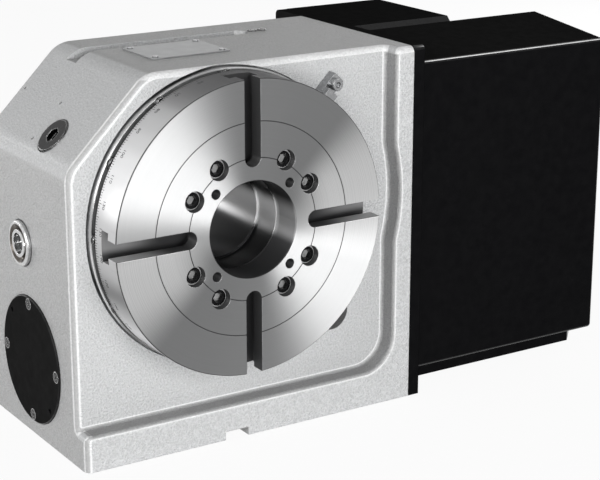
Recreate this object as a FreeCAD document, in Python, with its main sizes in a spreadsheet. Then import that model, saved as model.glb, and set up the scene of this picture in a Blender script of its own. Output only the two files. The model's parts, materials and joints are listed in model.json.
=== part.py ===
import FreeCAD, Part
import math
import os
import re
import Sketcher

# CNC rotary table with its spindle lying level.
# X points right, Y points back, Z points up, all in millimetres.
# The origin is on the base plane, at the key slot under the spindle axis;
# Y = 0 is the flat front panel of the casting.

V = FreeCAD.Vector
Turn = FreeCAD.Rotation
Place = FreeCAD.Placement

doc = FreeCAD.newDocument("rotary_table")
sheet = doc.addObject("Spreadsheet::Sheet", "Sizes")

SIZES = [
    ("centre_height", 155.0, "spindle axis above the base"),
    ("case_left", -114.0, "left face of the casting"),
    ("case_right", 144.0, "right face of the casting"),
    ("case_top", 257.5, "top face of the casting"),
    ("case_depth", 134.0, "front panel to back face"),
    ("bevel_size", 58.0, "big bevel at the top left corner"),
    ("bevel_round", 22.0, "rounding of the bevel's long edges"),
    ("panel_round", 5.0, "rounding of the front edges at left, bevel and top"),
    ("back_round", 3.0, "rounding of the back edges"),
    ("foot_height", 25.0, "height of the proud foot"),
    ("step_proud", 14.0, "foot and rim stand this far in front of the panel"),
    ("rim_width", 14.5, "width of the proud right rim"),
    ("rim_relief_r", 134.0, "relief in the rim around the face plate"),
    ("step_corner_r", 25.0, "inner corner between foot and rim"),
    ("relief_blend", 30.0, "blend between the relief and the straight rim"),
    ("step_cove", 3.0, "hollow where foot and rim rise from the panel"),
    ("step_round", 3.0, "rounding of the foot's and rim's front edges"),
    ("key_width", 18.0, "alignment key slot in the base"),
    ("key_depth", 6.0, "depth of the key slot"),
    ("tap_depth", 14.0, "depth of the tapped holes in the casting"),
    ("platter_r", 100.0, "face plate radius"),
    ("face_y", -38.0, "front face of the face plate"),
    ("rim_back_y", -9.0, "back of the face plate rim"),
    ("boss_back_y", -4.5, "back of the boss behind the face plate"),
    ("boss_r", 88.0, "radius of that boss"),
    ("seat_y", -13.5, "joint between spindle nose and face plate"),
    ("edge_break", 0.8, "small chamfers on turned edges"),
    ("screw_gap", 0.2, "clearance around a screw in a through hole"),
    ("bore_r", 32.5, "centre bore"),
    ("slot_neck", 12.0, "T-slot width at the face"),
    ("neck_depth", 11.0, "depth of the narrow part"),
    ("slot_wide", 21.0, "width of the undercut"),
    ("slot_depth", 20.0, "full depth of the T-slot"),
    ("slot_end_r", 48.0, "radius at which the slot end is centred"),
    ("bolt_ring_r", 50.0, "circle of the eight face plate bolts"),
    ("bolt_sink_r", 7.0, "counterbore radius"),
    ("bolt_sink_depth", 12.0, "counterbore depth"),
    ("bolt_clear_r", 4.5, "bolt clearance hole"),
    ("bolt_r", 4.0, "bolt shank radius"),
    ("bolt_length", 26.0, "bolt shank length"),
    ("bolt_tap_depth", 15.0, "tapped holes in the spindle nose"),
    ("jack_ring_r", 39.2, "circle of the four fixture holes"),
    ("jack_r", 3.4, "fixture hole radius"),
    ("jack_depth", 16.0, "fixture hole depth"),
    ("scribe_one_r", 48.0, "inner scribed circle"),
    ("scribe_two_r", 72.0, "outer scribed circle"),
    ("scribe_half", 0.5, "half width and depth of a scribed line"),
    ("nose_r", 62.0, "spindle nose and its recess"),
    ("nose_fit", 0.03, "clearance of the nose in the face plate"),
    ("nose_back_y", 3.0, "back of the spindle nose"),
    ("collar_r", 58.0, "collar ahead of the main bearing"),
    ("bearing_bore_r", 55.0, "main bearing seat on the spindle"),
    ("wheel_seat_r", 52.0, "worm wheel seat on the spindle"),
    ("nut_seat_r", 50.0, "lock nut seat"),
    ("tail_r", 45.0, "tail bearing seat"),
    ("back_bore_r", 31.0, "spindle bore behind the nose"),
    ("bore_step_y", 10.0, "where the bore narrows"),
    ("tail_end_y", 138.0, "back end of the spindle"),
    ("bearing_front_y", 6.0, "main bearing front"),
    ("bearing_back_y", 26.0, "main bearing back"),
    ("bearing_out_r", 80.0, "main bearing outer radius"),
    ("roller_pitch_r", 67.5, "circle of the crossed rollers"),
    ("roller_r", 5.0, "roller radius"),
    ("roller_length", 9.6, "roller length"),
    ("roller_count", 30.0, "number of crossed rollers"),
    ("roller_room", 0.4, "room between rollers and the bottom of the races"),
    ("race_gap", 0.8, "half gap between the two races"),
    ("ring_out_r", 101.2, "retainer ring outer radius"),
    ("ring_in_r", 72.0, "retainer ring inner radius"),
    ("ring_front_y", -4.0, "front of the retainer ring"),
    ("ring_bore_r", 102.2, "recess for the retainer ring"),
    ("ring_screw_ring_r", 96.5, "circle of the twelve ring screws"),
    ("ring_screw_r", 2.5, "ring screw shank radius"),
    ("ring_screw_length", 18.0, "ring screw shank length"),
    ("flat_head", 0.55, "height of a flat screw head against a tall one"),
    ("lip_r", 74.0, "lip behind the main bearing"),
    ("lip_back_y", 34.0, "back of that lip"),
    ("gear_bore_r", 87.5, "worm wheel chamber"),
    ("brake_step_y", 87.5, "step that carries the friction ring"),
    ("brake_bore_r", 90.0, "bore for brake and rear housing"),
    ("spacer_back_y", 42.0, "back of the bearing spacer"),
    ("spacer_r", 64.0, "bearing spacer outer radius"),
    ("wheel_back_y", 93.0, "back of the worm wheel hub"),
    ("wheel_hub_r", 66.0, "worm wheel hub radius"),
    ("wheel_web", 16.0, "thickness of the web"),
    ("wheel_rim_r", 72.0, "inner radius of the toothed rim"),
    ("wheel_module", 2.25, "module of the worm drive"),
    ("wheel_teeth", 72.0, "teeth of the worm wheel"),
    ("wheel_face", 24.0, "face width of the worm wheel"),
    ("wheel_tip_r", 85.5, "outside radius of the worm wheel"),
    ("wheel_root_r", 78.2, "root radius of the worm wheel"),
    ("throat_r", 17.3, "throat radius, centred on the worm axis"),
    ("flank_angle", 20.0, "flank angle of thread and teeth"),
    ("flank_clear", 0.15, "each flank is thinned by this much"),
    ("friction_in_r", 72.0, "friction ring inner radius"),
    ("friction_thick", 5.0, "friction ring thickness"),
    ("disc_r", 84.0, "brake disc radius"),
    ("disc_back_y", 96.0, "back of the brake disc"),
    ("nut_back_y", 109.0, "back of the spindle nut"),
    ("nut_r", 65.0, "spindle nut radius"),
    ("hook_width", 8.0, "hook spanner slots"),
    ("hook_depth", 4.0, "depth of the hook slots"),
    ("housing_front_y", 99.0, "front of the rear housing"),
    ("housing_in_r", 66.6, "rear housing bore around the nut"),
    ("piston_in_r", 69.0, "brake cylinder inner radius"),
    ("piston_out_r", 85.0, "brake cylinder outer radius"),
    ("cylinder_back_y", 111.0, "bottom of the brake cylinder"),
    ("piston_fit", 0.03, "running clearance of the piston"),
    ("piston_front_y", 96.6, "piston front at rest"),
    ("piston_back_y", 108.6, "piston back at rest"),
    ("tail_bearing_y", 112.0, "tail bearing front"),
    ("tail_bearing_back_y", 125.0, "tail bearing back"),
    ("tail_bearing_r", 57.5, "tail bearing outer radius"),
    ("tail_seal_r", 54.0, "rear seal outer radius"),
    ("tail_seal_y", 128.5, "rear seal seat front"),
    ("tail_shoulder_r", 52.0, "shoulder behind the tail bearing"),
    ("flange_r", 99.0, "rear housing flange radius"),
    ("flange_back_y", 142.0, "back of the rear housing flange"),
    ("flange_screw_ring_r", 94.0, "circle of the rear housing screws"),
    ("flange_screw_r", 2.5, "rear housing screw radius"),
    ("flange_screw_length", 20.0, "rear housing screw shank length"),
    ("seal_gap", 0.3, "gap under a seal lip"),
    ("seal_lip", 4.0, "depth of a seal lip"),
    ("seal_half", 2.4, "half width of the front seal"),
    ("seal_wide", 9.0, "width of the rear seal"),
    ("shield_in", 0.6, "bearing shields lie this far inside the rings"),
    ("shield_thick", 0.8, "thickness of a bearing shield"),
    ("worm_y", 67.0, "worm axis behind the panel"),
    ("worm_z", 54.5, "worm axis above the base"),
    ("worm_pitch_r", 19.5, "worm pitch radius"),
    ("worm_tip_r", 21.75, "worm thread crest radius"),
    ("worm_root_r", 16.7, "worm core radius"),
    ("worm_turns", 11.0, "turns of the worm thread"),
    ("worm_relief_x", 44.0, "half length of the worm between its shoulders"),
    ("worm_shoulder_r", 18.0, "shoulders beside the worm"),
    ("worm_bearing_r", 15.0, "worm bearing bore"),
    ("worm_bearing_out_r", 31.0, "worm bearing outer radius"),
    ("worm_thread_r", 14.0, "lock nut and seal seat on the worm"),
    ("worm_left_x", -98.0, "left bearing pair starts"),
    ("worm_shoulder_x", 66.0, "bearing shoulders left and right"),
    ("worm_right_x", 82.0, "right bearing ends"),
    ("worm_nut_x", -106.0, "left end of the lock nut"),
    ("worm_nut_r", 22.0, "lock nut radius"),
    ("worm_hook_width", 5.0, "hook slots of the lock nut"),
    ("worm_hook_depth", 2.5, "depth of those slots"),
    ("worm_seal_x", 90.0, "worm oil seal starts"),
    ("worm_seal_back_x", 100.0, "worm oil seal ends"),
    ("worm_end_x", 134.0, "right end of the worm shaft"),
    ("pulley_seat_r", 12.0, "pulley seat on the worm shaft"),
    ("tunnel_r", 26.0, "tunnel around the worm"),
    ("cover_r", 45.0, "round end cover radius"),
    ("cover_sink", 5.0, "recess for the end cover"),
    ("cover_front_x", -115.2, "outer face of the end cover"),
    ("cover_screw_ring_r", 40.0, "circle of the end cover screws"),
    ("cover_screw_r", 2.0, "end cover screw radius"),
    ("cover_screw_length", 14.0, "end cover screw shank length"),
    ("jack_screw_r", 2.0, "jack holes of the end cover"),
    ("belt_wall_x", 104.0, "bottom of the belt pocket"),
    ("belt_pocket_r", 33.0, "belt pocket around the worm pulley"),
    ("belt_pocket_top_r", 27.0, "belt pocket around the motor pulley"),
    ("pulley_left_x", 108.0, "left flange of both pulleys"),
    ("pulley_right_x", 128.0, "right flange of both pulleys"),
    ("pulley_flange", 2.0, "pulley flange thickness"),
    ("belt_pitch", 5.0, "pitch of the toothed belt"),
    ("worm_pulley_teeth", 30.0, "teeth of the worm pulley"),
    ("motor_pulley_teeth", 24.0, "teeth of the motor pulley"),
    ("pulley_under", 0.57, "pulley crest below the pitch line"),
    ("pulley_rise", 3.2, "flange above the pulley crest"),
    ("groove_deep", 1.3, "depth of the pulley grooves"),
    ("belt_gap", 0.3, "gap between pulley crest and belt"),
    ("belt_thick", 2.6, "belt thickness"),
    ("belt_wide", 15.0, "belt width"),
    ("motor_y", 31.0, "motor axis behind the panel"),
    ("motor_z", 150.0, "motor axis above the base"),
    ("motor_shaft_r", 7.0, "motor shaft radius"),
    ("motor_fit", 0.05, "running clearance of the motor shaft"),
    ("motor_pilot_r", 25.0, "motor pilot radius"),
    ("motor_pilot", 5.0, "length of the motor pilot"),
    ("motor_shaft_seat", 39.0, "length of shaft inside the motor"),
    ("motor_flange", 70.0, "motor flange width"),
    ("motor_flange_thick", 10.0, "motor flange thickness"),
    ("motor_width", 60.0, "motor body width"),
    ("motor_corner", 12.0, "bevelled corners of the motor body"),
    ("motor_end_x", 258.0, "back end of the motor body"),
    ("motor_screw_place", 29.0, "motor screws off the axis"),
    ("motor_screw_r", 2.5, "motor screw radius"),
    ("motor_screw_length", 18.0, "motor screw shank length"),
    ("encoder_width", 52.0, "encoder cap width"),
    ("encoder_end_x", 292.0, "back end of the encoder cap"),
    ("encoder_round", 4.0, "rounding of the encoder cap"),
    ("plate_right_x", 153.0, "right face of the flange plate"),
    ("plate_back_y", 168.0, "back edge of the flange plate"),
    ("plate_corner", 4.0, "corner rounding of the flange plate"),
    ("plate_screw_r", 3.0, "flange plate screw radius"),
    ("plate_screw_length", 22.0, "flange plate screw length"),
    ("sheet_thick", 2.0, "cover sheet thickness"),
    ("sheet_bend", 3.0, "outside bend radius of the covers"),
    ("hood_end_x", 322.0, "right end of the motor cover"),
    ("hood_front_y", -10.0, "front of the motor cover"),
    ("hood_back_y", 70.0, "back of the motor cover"),
    ("hood_base_z", 18.0, "bottom of the covers"),
    ("hood_low_z", 245.0, "front height of the motor cover"),
    ("hood_high_z", 254.0, "back height of the motor cover"),
    ("hood_lip", 22.0, "return lip under the motor cover"),
    ("hood_flange", 12.0, "flange where motor cover and rear box meet"),
    ("box_end_x", 238.0, "right end of the rear box"),
    ("box_bevel", 4.0, "bevel on the rear box's front edge"),
    ("fitting_x", 196.0, "fittings on the back of the rear box"),
    ("power_z", 200.0, "power connector height"),
    ("power_r", 13.0, "power connector body radius"),
    ("power_long", 16.0, "power connector stands out"),
    ("air_z", 140.0, "air inlet height"),
    ("air_r", 7.0, "air inlet body radius"),
    ("air_long", 17.0, "air inlet stands out"),
    ("air_bore_r", 3.0, "air inlet bore"),
    ("fitting_in", 12.0, "fittings reach into the box"),
    ("valve_y", 108.0, "clamp valve behind the panel"),
    ("valve_z", 145.0, "clamp valve height"),
    ("valve_half", 16.0, "half depth of the valve block"),
    ("valve_tall", 54.0, "height of the valve block"),
    ("valve_wide", 28.0, "width of the valve block"),
    ("coil_r", 11.0, "valve coil radius"),
    ("coil_long", 34.0, "valve coil length"),
    ("strip_base_z", 6.0, "underside of the cover base plate"),
    ("strip_front_y", 2.0, "front edge of the cover base plate"),
    ("strip_inset", 2.0, "base plate ends short of the cover"),
    ("strip_corner", 12.0, "cut corner of the base plate"),
    ("lip_screw_r", 2.0, "cover screw radius"),
    ("lip_screw_length", 11.0, "cover screw shank length"),
    ("channel_y", 96.5, "hose channel centre on the top"),
    ("channel_half", 7.5, "half width of the hose channel"),
    ("channel_depth", 7.0, "depth of the hose channel"),
    ("channel_end_x", 68.0, "centre of the channel's round end"),
    ("port_x", 80.0, "first port on top"),
    ("port_step", 8.0, "distance between the two ports"),
    ("port_r", 2.3, "port radius"),
    ("port_depth", 12.0, "port depth"),
    ("port_plug_r", 2.0, "port plug radius"),
    ("plug_head", 0.25, "height of a plug head against a tall screw head"),
    ("port_plug_length", 10.0, "length of a port plug"),
    ("blind_x", 86.5, "round recess in the panel, across"),
    ("blind_z", 71.0, "round recess in the panel, height"),
    ("blind_r", 13.0, "round recess radius"),
    ("blind_depth", 12.0, "round recess depth"),
    ("glass_y", 75.5, "sight glass on the left face"),
    ("glass_z", 135.5, "sight glass height"),
    ("glass_sink_r", 16.4, "sight glass recess radius"),
    ("glass_sink", 2.0, "sight glass recess depth"),
    ("glass_thread_r", 11.5, "sight glass thread radius"),
    ("glass_depth", 32.0, "sight glass hole, into the gear chamber"),
    ("glass_r", 9.5, "glass disc radius"),
    ("glass_lip_r", 7.2, "bezel opening radius"),
    ("glass_eye_r", 9.5, "raised eye around the bezel opening"),
    ("bezel_dish_r", 13.0, "outer radius of the dished bezel face"),
    ("bezel_dish", 2.5, "depth of the dish"),
    ("bezel_foot_r", 10.5, "inner radius of the dish floor"),
    ("glass_thick", 4.0, "glass thickness"),
    ("gasket_thick", 2.0, "gasket thickness"),
    ("bezel_r", 15.6, "bezel radius"),
    ("bezel_proud", 3.0, "bezel stands out of the left face"),
    ("bezel_long", 16.0, "bezel reaches into the casting"),
    ("fill_u", -21.5, "oil plug along the bevel, from its middle"),
    ("fill_y", 48.3, "oil plug behind the panel"),
    ("fill_sink_r", 13.6, "oil plug recess radius"),
    ("fill_sink", 4.0, "oil plug recess depth"),
    ("fill_depth", 20.0, "oil plug hole depth"),
    ("fill_r", 13.0, "oil plug head radius"),
    ("fill_thread_r", 9.0, "oil plug thread radius"),
    ("fill_proud", 0.8, "oil plug stands out of the bevel"),
    ("fill_socket", 10.0, "hex socket of the oil plug"),
    ("socket_depth", 4.0, "depth of a hex socket"),
    ("rivet_u_low", -29.0, "lower rivet holes along the bevel"),
    ("rivet_u_high", 1.0, "upper rivet holes along the bevel"),
    ("rivet_front_y", 69.5, "front rivet holes"),
    ("rivet_back_y", 126.5, "back rivet holes"),
    ("rivet_r", 1.2, "rivet hole radius"),
    ("rivet_depth", 6.0, "rivet hole depth"),
    ("plate_left_x", -31.0, "nameplate left edge"),
    ("plate_wide", 59.0, "nameplate length"),
    ("plate_front_y", 38.0, "nameplate front edge"),
    ("plate_long", 45.0, "nameplate width"),
    ("plate_thick", 1.0, "nameplate thickness"),
    ("pin_inset", 4.0, "drive pins from the nameplate edges"),
    ("pin_r", 2.2, "drive pin head radius"),
    ("pin_head", 0.8, "drive pin head height"),
    ("pointer_angle", 45.0, "pointer position around the spindle"),
    ("pointer_width", 9.0, "pointer block width"),
    ("pointer_in_r", 103.5, "pointer block starts"),
    ("pointer_tip_r", 100.7, "pointer tip"),
    ("pointer_out_r", 122.0, "pointer block ends"),
    ("pointer_screw_at", 116.0, "pointer screw from the spindle axis"),
    ("pointer_screw_r", 2.5, "pointer screw radius"),
    ("pointer_screw_length", 18.0, "pointer screw shank length"),
    ("pointer_low", 8.0, "height of the pointer block at its screw"),
    ("pointer_tall", 14.0, "height of the pointer block at its nose"),
    ("pointer_nose", 6.5, "length of the tall part"),
    ("pointer_point", 2.0, "half height of the point"),
    ("drain_x", -60.0, "drain plug across the back"),
    ("drain_z", 20.0, "drain plug height"),
    ("drain_r", 8.0, "drain plug thread radius"),
    ("drain_depth", 20.0, "drain hole depth"),
    ("drain_head_r", 12.0, "drain plug head radius"),
    ("drain_head", 5.0, "drain plug head height"),
]

WORDS = set()
for row, (alias, number, note) in enumerate(SIZES, start=1):
    sheet.set(f"A{row}", note)
    sheet.set(f"B{row}", str(number))
    sheet.setAlias(f"B{row}", alias)
    WORDS.add(alias)
doc.recompute()


def bound(text):
    """Write an expression with every cell alias led back to the sheet."""
    return re.sub(
        r"[a-z][a-z_]*",
        lambda word: "Sizes." + word[0] if word[0] in WORDS else word[0],
        text,
    )


def size(text):
    """Number that an expression in the sheet's aliases gives."""
    return float(sheet.evalExpression(bound(text)))


# Shared tools for sketches and features

pieces = []


def new_body(label):
    body = doc.addObject("PartDesign::Body", label)
    body.Label = label
    pieces.append(body)
    return body


def origin_part(body, role):
    for feature in body.Origin.OriginFeatures:
        if feature.Role == role:
            return feature
    raise ValueError(role)


def new_sketch(body, role, shift=("0", "0", "0")):
    """Sketch on an origin plane, its own origin shifted by three expressions."""
    sketch = body.newObject("Sketcher::SketchObject", "sketch")
    sketch.AttachmentSupport = [(origin_part(body, role), "")]
    sketch.MapMode = "FlatFace"
    for axis, text in zip("xyz", shift):
        if text != "0":
            sketch.setExpression(f"AttachmentOffset.Base.{axis}", bound(text))
    return sketch


def fix(sketch, kind, *where, text):
    """Add one driving constraint and tie it to the sheet."""
    number = sketch.addConstraint(Sketcher.Constraint(kind, *where, size(text)))
    sketch.setExpression(f"Constraints[{number}]", bound(text))


def add_loop(sketch, points):
    """Closed outline. A point is (x, y) or, where an arc follows it,
    (x, y, radius, centre x, centre y)."""
    spots = [V(size(p[0]), size(p[1]), 0) for p in points]
    first = sketch.GeometryCount
    starts = []
    for number, point in enumerate(points):
        here = spots[number]
        there = spots[(number + 1) % len(points)]
        if len(point) == 2:
            sketch.addGeometry(Part.LineSegment(here, there))
            starts.append((1, 2))
            continue
        radius = size(point[2])
        centre = V(size(point[3]), size(point[4]), 0)
        outward = (here + there) * 0.5 - centre
        crest = centre + outward.normalize() * radius
        arc = Part.Arc(here, crest, there)
        sketch.addGeometry(arc)
        forward = (here - centre).cross(there - centre).z > 0
        starts.append((1, 2) if forward else (2, 1))
    for number, point in enumerate(points):
        following = (number + 1) % len(points)
        sketch.addConstraint(Sketcher.Constraint(
            "Coincident", first + number, starts[number][1],
            first + following, starts[following][0]))
    for number, point in enumerate(points):
        fix(sketch, "DistanceX", -1, 1, first + number, starts[number][0], text=point[0])
        fix(sketch, "DistanceY", -1, 1, first + number, starts[number][0], text=point[1])
        if len(point) > 2:
            fix(sketch, "Radius", first + number, text=point[2])


def add_circle(sketch, x, y, radius):
    number = sketch.addGeometry(Part.Circle(V(size(x), size(y), 0), V(0, 0, 1), size(radius)))
    fix(sketch, "DistanceX", -1, 1, number, 3, text=x)
    fix(sketch, "DistanceY", -1, 1, number, 3, text=y)
    fix(sketch, "Radius", number, text=radius)


def add_box(sketch, left, low, right, high):
    add_loop(sketch, [(left, low), (right, low), (right, high), (left, high)])


def add_slot(sketch, end_x, open_x, middle_y, half):
    """Outline of a channel, round at end_x and square at open_x."""
    low = f"{middle_y} - {half}"
    high = f"{middle_y} + {half}"
    away = "-" if size(open_x) > size(end_x) else "+"
    add_loop(sketch, [
        (open_x, low),
        (open_x, high),
        (end_x, high, half, end_x, middle_y),
        (f"{end_x} {away} {half}", middle_y, half, end_x, middle_y),
        (end_x, low),
    ])


def add_belt_loop(sketch, low_r, high_r):
    """Two wrapped arcs and the straight runs tangent to them."""
    low = V(size("worm_y"), size("worm_z"), 0)
    high = V(size("motor_y"), size("motor_z"), 0)
    along = high - low
    lean = math.asin((size(low_r) - size(high_r)) / along.Length)
    heading = math.atan2(along.y, along.x)
    right = heading - math.pi / 2 + lean
    left = heading + math.pi / 2 - lean

    def on(centre, radius, angle):
        return centre + V(math.cos(angle), math.sin(angle), 0) * size(radius)

    top = sketch.addGeometry(Part.Arc(
        on(high, high_r, right), on(high, high_r, heading), on(high, high_r, left)))
    run_left = sketch.addGeometry(Part.LineSegment(
        on(high, high_r, left), on(low, low_r, left)))
    bottom = sketch.addGeometry(Part.Arc(
        on(low, low_r, left), on(low, low_r, heading + math.pi), on(low, low_r, right)))
    run_right = sketch.addGeometry(Part.LineSegment(
        on(low, low_r, right), on(high, high_r, right)))
    sketch.addConstraint(Sketcher.Constraint("Tangent", top, 2, run_left, 1))
    sketch.addConstraint(Sketcher.Constraint("Tangent", run_left, 2, bottom, 1))
    sketch.addConstraint(Sketcher.Constraint("Tangent", bottom, 2, run_right, 1))
    sketch.addConstraint(Sketcher.Constraint("Tangent", run_right, 2, top, 1))
    for arc, across, height, radius in (
            (top, "motor_y", "motor_z", high_r),
            (bottom, "worm_y", "worm_z", low_r)):
        fix(sketch, "DistanceX", -1, 1, arc, 3, text=across)
        fix(sketch, "DistanceY", -1, 1, arc, 3, text=height)
        fix(sketch, "Radius", arc, text=radius)


def pad(body, sketch, length, back=False, both=False):
    feature = body.newObject("PartDesign::Pad", "pad")
    feature.Profile = sketch
    feature.setExpression("Length", bound(length))
    feature.Reversed = back
    feature.Midplane = both
    doc.recompute()
    return feature


def pocket(body, sketch, length=None, back=False, both=False):
    """Cut a sketch out of the body, right through where no length is given."""
    before = body.Shape.Volume
    feature = body.newObject("PartDesign::Pocket", "pocket")
    feature.Profile = sketch
    feature.Reversed = back
    feature.Midplane = both
    if length is None:
        feature.Type = "ThroughAll"
    else:
        feature.setExpression("Length", bound(length))
    doc.recompute()
    if body.Shape.Volume > before - 0.01:
        raise ValueError(f"{body.Label}: a pocket cuts nothing")
    return feature


def around(body, kind, sketch, axis):
    """Revolution or groove of a sketch about one of its own axes."""
    feature = body.newObject(f"PartDesign::{kind}", kind.lower())
    feature.Profile = sketch
    feature.ReferenceAxis = (sketch, [axis])
    feature.Angle = 360
    doc.recompute()
    return feature


def ring_of(body, features, sketch, count):
    """Repeat features evenly about the normal of a sketch's origin."""
    pattern = body.newObject("PartDesign::PolarPattern", "ring")
    pattern.Originals = features
    pattern.Axis = (sketch, ["N_Axis"])
    pattern.Angle = 360
    pattern.Occurrences = count
    body.Tip = pattern
    doc.recompute()
    return pattern


def edges_where(body, test):
    """Names of the body's edges whose middle point passes a test."""
    names = []
    for number, edge in enumerate(body.Shape.Edges, start=1):
        middle = edge.valueAt((edge.FirstParameter + edge.LastParameter) / 2)
        if test(middle, edge):
            names.append(f"Edge{number}")
    return names


def soften(body, kind, amount, test):
    """Fillet or Chamfer on the edges that pass a test."""
    names = edges_where(body, test)
    if not names:
        raise ValueError(f"{body.Label}: no edge to soften")
    feature = body.newObject(f"PartDesign::{kind}", kind.lower())
    feature.Base = (body.Tip if body.Tip != feature else feature.BaseFeature, names)
    feature.setExpression("Radius" if kind == "Fillet" else "Size", bound(amount))
    doc.recompute()
    return feature


def near(first, second):
    return abs(first - second) < 0.05


def on_spindle(item):
    """Local Z runs back along the spindle axis, stations are world Y."""
    item.Placement = Place(V(0, 0, 0), Turn(V(1, 0, 0), -90))
    item.setExpression("Placement.Base.z", bound("centre_height"))


def on_worm(item):
    """Local Z runs right along the worm axis, stations are world X."""
    item.Placement = Place(V(0, 0, 0), Turn(V(0, 1, 0), 90))
    item.setExpression("Placement.Base.y", bound("worm_y"))
    item.setExpression("Placement.Base.z", bound("worm_z"))


def on_motor(item):
    """Local Z runs right along the motor axis, stations are world X."""
    item.Placement = Place(V(0, 0, 0), Turn(V(0, 1, 0), 90))
    item.setExpression("Placement.Base.y", bound("motor_y"))
    item.setExpression("Placement.Base.z", bound("motor_z"))


def on_glass(item):
    """Local Z runs right through the sight glass, stations are world X."""
    item.Placement = Place(V(0, 0, 0), Turn(V(0, 1, 0), 90))
    item.setExpression("Placement.Base.y", bound("glass_y"))
    item.setExpression("Placement.Base.z", bound("glass_z"))


def turned(label, outline, seat):
    """Body turned from an outline of (radius, station) points."""
    body = new_body(label)
    sketch = new_sketch(body, "XZ_Plane")
    add_loop(sketch, outline)
    around(body, "Revolution", sketch, "V_Axis")
    seat(body)
    return body


def ring(label, inner, outer, start, end, seat):
    return turned(label, [(inner, start), (outer, start), (outer, end), (inner, end)], seat)


def group(label, solids):
    """Separate alike solids that share one node."""
    feature = doc.addObject("Part::Feature", label)
    feature.Label = label
    feature.Shape = Part.makeCompound(solids)
    pieces.append(feature)
    return feature


def hex_prism(across, height):
    corner = across / math.sqrt(3)
    spots = [V(corner * math.cos(math.radians(a)), corner * math.sin(math.radians(a)), 0)
             for a in range(0, 420, 60)]
    return Part.Face(Part.makePolygon(spots)).extrude(V(0, 0, height))


def cap_screw(seat, out, radius, shank, low=1.0):
    """Socket screw of the usual proportions: seat is the underside of its head,
    out points away from the work, and low is below 1 for a flat head."""
    head_r = 1.5 * radius + 0.5
    head = 2 * radius * low
    socket = 1.6 * radius
    body = Part.makeCylinder(head_r, head)
    body = body.makeChamfer(0.25 * radius, [body.Edges[0]])
    body = body.cut(hex_prism(socket, head).translated(V(0, 0, head / 2)))
    body = body.fuse(Part.makeCylinder(radius, shank, V(0, 0, -shank))).removeSplitter()
    body.Placement = Place(seat, Turn(V(0, 0, 1), out))
    return body


def sunk_screw(seat, out, radius, shank):
    """Countersunk screw, its flat head flush with seat."""
    head_r = 2 * radius
    head = head_r - radius
    socket = 1.3 * radius
    body = Part.makeCone(radius, head_r, head, V(0, 0, -head))
    body = body.fuse(Part.makeCylinder(radius, shank, V(0, 0, -shank))).removeSplitter()
    body = body.cut(hex_prism(socket, head).translated(V(0, 0, -head / 2)))
    body.Placement = Place(seat, Turn(V(0, 0, 1), out))
    return body


def about_spindle(radius, angle, station):
    """World point at a radius, an angle from the right and a station."""
    turn = math.radians(angle)
    return V(radius * math.cos(turn), station, size("centre_height") + radius * math.sin(turn))


# Casting

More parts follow.
